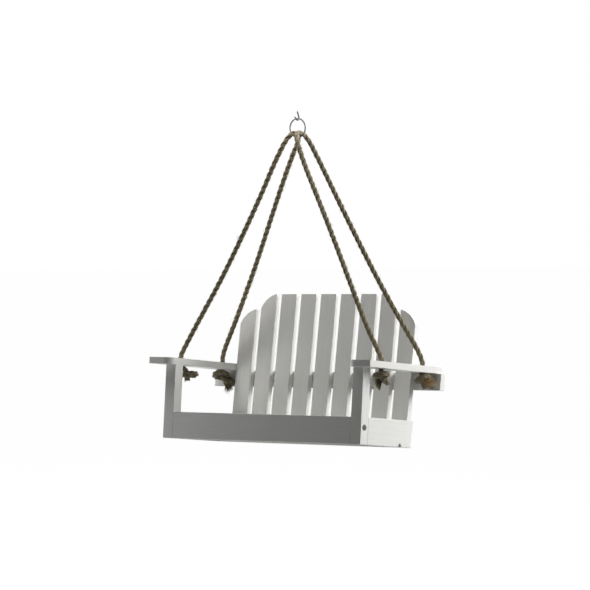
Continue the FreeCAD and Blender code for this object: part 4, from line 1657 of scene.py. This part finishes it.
@dataclass
class Fasteners:
    """Screw heads in the posts and domed pins low on the sides; the screw heads are near black as painted
    shade of their counterbores. Sizes in mm.

    Profiles are radius and height from the head's foot up to the middle of its top.
    """

    zinc: bpy.types.Material
    # painted shade: near-black finish of the screw heads, for the shadow in their counterbores
    dark: bpy.types.Material
    around: int = 28
    screw_place: Point = (155.6, 8.0, 21.5)
    screw_rim: tuple[Flat, ...] = (
        (3.6, -1.6), (3.6, -0.35), (3.4, -0.1), (3.0, 0.0), (2.4, 0.0), (2.0, 0.0))
    screw_top_steps: int = 7
    screw_top_step: float = 0.25
    screw_top_hole: float = 0.2
    cross_depth: float = 1.1
    cross_reach: float = 1.75
    cross_width: float = 0.22
    pin_place: Point = (160.0, 88.8, 2.3)
    pin_dome: tuple[Flat, ...] = (
        (0.8, -6.0), (0.8, 0.05), (2.3, 0.05), (2.5, 0.4),
        (2.4, 0.9), (1.95, 1.35), (1.3, 1.62), (0.5, 1.7))

    def turned_head(self, profile: tuple[Flat, ...], dent: float = 0.0,
                    arms: float = 0.0) -> tuple[np.ndarray, Faces]:
        """A head turned about its axis, with a cross pressed into its top.

        Args:
            profile: Radius and height of each of its rings.
            dent: Depth of the cross.
            arms: Reach of the cross from the axis.

        Returns:
            Its vertices with the axis along Z, and its faces.
        """
        angle = circle_angles(self.around)
        rings = []
        for radius, height in profile:
            x, y = radius * np.cos(angle), radius * np.sin(angle)
            inside = np.minimum(np.abs(x), np.abs(y)) < arms * self.cross_width
            low = dent * np.clip((arms - radius) / (arms / 4), 0.0, 1.0) * inside if arms else 0.0
            rings.append(np.stack([x, y, np.full_like(x, height) - low], axis=1))
        points = np.concatenate([*rings, [[0.0, 0.0, profile[-1][1] - dent]]])
        faces = ring_faces(len(profile), self.around)
        tip = len(profile) * self.around
        last = tip - self.around
        faces += [(last + spot, last + (spot + 1) % self.around, tip) for spot in range(self.around)]
        faces.append(tuple(reversed(range(self.around))))
        return points, faces

    @staticmethod
    def pair(name: str, node: str, finish: bpy.types.Material, head: tuple[np.ndarray, Faces],
             place: Point) -> None:
        """Put one head at a place of the right side and one at its mirror image, both facing outwards.

        Args:
            name: The piece's name.
            node: The CAD node that it stands for.
            finish: Its material.
            head: Vertices and faces of one head.
            place: Where the right one goes.
        """
        surface = Surface()
        for side in Side:
            turn = Vector(UPWARD).rotation_difference(Vector(side.outward)).to_matrix()
            spot = np.array([side.value * place[0], *place[1:]])
            surface.add(head[0] @ np.array(turn).T + spot, head[1])
        stand_on_seat(name, surface, Slot.ZINC, finish, node)

    def build(self) -> None:
        """Build the heads that show; the shanks stay hidden in the wood."""
        steps = reversed(range(self.screw_top_steps))
        top = [(self.screw_top_hole + self.screw_top_step * step, 0.0) for step in steps]
        screw = self.turned_head((*self.screw_rim, *top), self.cross_depth, self.cross_reach)
        # the screw heads take the near-black finish as painted shade of their counterbores
        self.pair("post_screw_heads", "post_screws", self.dark, screw, self.screw_place)
        pin = self.turned_head(self.pin_dome)
        self.pair("side_pin_heads", "side_pins", self.zinc, pin, self.pin_place)


# Studio


@dataclass(frozen=True)
class PhotoCamera:
    """The camera of the photograph, in the seat frame. Lengths in mm, angles in degrees."""

    place: Point = (2349.6, -3113.3, -59.7)
    yaw: float = 36.4847
    pitch: float = -3.6831
    roll: float = 2.6254
    focal_pixels: float = 3010.25
    frame_pixels: float = 590.0
    sensor: float = 36.0
    far: float = 50.0

    def build(self) -> None:
        """Put the camera in place and make it the scene's."""
        yaw, pitch, roll = (math.radians(angle) for angle in (self.yaw, self.pitch, self.roll))
        level = math.cos(pitch)
        ahead = Vector((-math.sin(yaw) * level, math.cos(yaw) * level, -math.sin(pitch)))
        right = Vector((math.cos(yaw), math.sin(yaw), 0.0))
        up = right.cross(ahead)
        camera_right = right * math.cos(roll) + up * math.sin(roll)
        camera_up = up * math.cos(roll) - right * math.sin(roll)
        axes = Matrix((camera_right, camera_up, -ahead)).transposed()
        lean = Matrix.Rotation(math.radians(HANGING.pitch), 3, "X")
        data = bpy.data.cameras.new("photo_camera")
        data.sensor_width = self.sensor
        data.sensor_height = self.sensor
        data.sensor_fit = "HORIZONTAL"
        data.lens = self.focal_pixels * self.sensor / self.frame_pixels
        data.clip_end = self.far
        camera = bpy.data.objects.new("photo_camera", data)
        place = HANGING.matrix @ Vector(self.place)
        camera.matrix_world = Matrix.Translation(place) @ (lean @ axes).to_4x4()
        bpy.context.scene.collection.objects.link(camera)
        bpy.context.scene.camera = camera


@dataclass(frozen=True)
class SoftLamp:
    """A round area light: where it stands, what it points at, its width and its power."""

    name: str
    place: Point
    aim: Point
    width: float
    power: float

    def build(self) -> None:
        """Put the lamp into the scene."""
        data = bpy.data.lights.new(self.name, "AREA")
        data.shape = "DISK"
        data.size = self.width
        data.energy = self.power
        lamp = bpy.data.objects.new(self.name, data)
        lamp.visible_camera = False
        turn = (Vector(self.aim) - Vector(self.place)).to_track_quat("-Z", "Y").to_matrix()
        lamp.matrix_world = Matrix.Translation(self.place) @ turn.to_4x4()
        bpy.context.scene.collection.objects.link(lamp)


@dataclass
class Studio:
    """White surroundings, a pale floor far below the seat, lamps and the camera. Sizes in m."""

    floor_height: float = -0.86
    floor_reach: float = 30.0
    floor_tone: float = 0.46
    floor_glow: float = 0.985
    ambient: float = 0.010
    lamps: tuple[SoftLamp, ...] = (
        SoftLamp("key_behind", (1.00, 1.40, 0.40), (0.0, 0.0, -0.36), 1.2, 38.0),
        SoftLamp("key_right", (1.10, 0.42, 0.10), (0.0, 0.0, -0.36), 0.5, 5.2),
        SoftLamp("overhead", (-0.30, -0.15, 0.30), (0.0, 0.05, -0.35), 0.4, 3.0),
        SoftLamp("top_right", (0.20, 0.08, 0.30), (0.1, 0.05, -0.40), 0.4, 0.9),
        SoftLamp("low_left", (-0.44, -0.18, -0.50), (-0.1, -0.1, -0.42), 0.2, 0.55),
        SoftLamp("rear_left", (-2.0, 2.2, 0.45), (0.0, 0.0, -0.36), 1.2, 18.0),
    )

    def build(self) -> None:
        """Build everything that isn't part of the object."""
        self.build_world()
        self.build_floor()
        for lamp in self.lamps:
            lamp.build()
        PhotoCamera().build()
        bpy.context.scene.view_settings.view_transform = "Standard"

    @staticmethod
    def where_seen(nodes: Nodes, plain: bpy.types.Node, shown: bpy.types.Node) -> bpy.types.NodeSocket:
        """One shader for the object's light, another for camera, gloss and glass rays.

        Args:
            nodes: The tree.
            plain: The shader for the object's light.
            shown: The shader for the other rays.

        Returns:
            The shader of both.
        """
        path = nodes.add("LightPath").outputs
        seen = nodes.maths("MAXIMUM", path["Is Camera Ray"], path["Is Glossy Ray"])
        seen = nodes.maths("MAXIMUM", seen, path["Is Transmission Ray"])
        both = nodes.add("MixShader", in_0=seen, in_1=plain.outputs[0], in_2=shown.outputs[0])
        return both.outputs[0]

    def build_world(self) -> None:
        """White where it is seen, and a plain grey light for the object."""
        world = bpy.data.worlds.new("white_surroundings")
        world.use_nodes = True
        nodes = Nodes(world.node_tree)
        white = nodes.add("Background", Color=WHITE, Strength=1.0)
        light = nodes.add("Background", Color=(*[self.ambient] * 3, 1.0), Strength=1.0)
        nodes.add("OutputWorld", Surface=self.where_seen(nodes, light, white))
        bpy.context.scene.world = world

    def build_floor(self) -> None:
        """A wide pale floor that stays white where it is seen, apart from the object's shadow."""
        material, nodes = new_material("pale_floor")
        plain = nodes.add("BsdfDiffuse", Color=(*[self.floor_tone] * 3, 1.0))
        glow = nodes.add("Emission", Color=WHITE, Strength=self.floor_glow)
        bright = nodes.add("AddShader", in_0=plain.outputs[0], in_1=glow.outputs[0])
        nodes.add("OutputMaterial", Surface=self.where_seen(nodes, plain, bright))
        shape = bmesh.new()
        bmesh.ops.create_grid(shape, x_segments=1, y_segments=1, size=self.floor_reach)
        data = bpy.data.meshes.new("studio_floor")
        shape.to_mesh(data)
        shape.free()
        data.transform(Matrix.Translation((0.0, 0.0, self.floor_height)))
        data.materials.append(material)
        floor = bpy.data.objects.new("studio_floor", data)
        bpy.context.scene.collection.objects.link(floor)


BRAD_NODES = ("arm_brads", "seat_board_brads", "slat_foot_brads", "crossbar_brads")


def main() -> None:
    """Build the swing from the seat up, then the studio round it."""
    logging.basicConfig(level=logging.INFO, format="%(message)s")
    groups = EffectGroups()
    paint = PaintFinish(groups).material()
    rope = RopeFinish(groups, "jute_strands").material()
    hair = RopeFinish(groups, "jute_hairs", (0.42, 0.34, 0.20, 1.0), (0.19, 0.15, 0.085, 1.0)).material()
    # painted highlight: a lighter copy of the hairs' finish, for the frayed end that the key light falls on
    pale = RopeFinish(groups, "jute_ends_painted_lit", (0.92, 0.80, 0.60, 1.0), (0.66, 0.45, 0.23, 1.0)).material()
    ring, hook, zinc, screw = (MetalFinish(groups, *looks).material() for looks in (
        ("ring_steel_wire", (0.17, 0.17, 0.18, 1.0), (0.09, 0.09, 0.10, 1.0), 0.3),
        ("dark_hook_wire", (0.07, 0.07, 0.075, 1.0), (0.03, 0.03, 0.032, 1.0), 0.35, 0.8),
        ("zinc_heads", (0.17, 0.17, 0.175, 1.0), (0.10, 0.10, 0.105, 1.0), 0.45),
        # painted shade: screw heads near black, for the shadow in their counterbores
        ("screws_painted_shade", (0.05, 0.05, 0.052, 1.0), (0.02, 0.02, 0.021, 1.0), 0.55, 0.8),
    ))
    SeatBox(paint).build()
    BackRest(paint).build()
    Arms(paint).build()
    Fasteners(zinc, screw).build()
    for name in BRAD_NODES:
        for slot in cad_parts[name].material_slots:
            slot.material = zinc
    knots = StopperKnots(rope, hair, pale).build()
    ropes = Ropes(rope, hair)
    for side in Side:
        ropes.build(side, knots[side])
    HangingHardware(ring, hook).build()
    Studio().build()


if __name__ == "__main__":
    main()
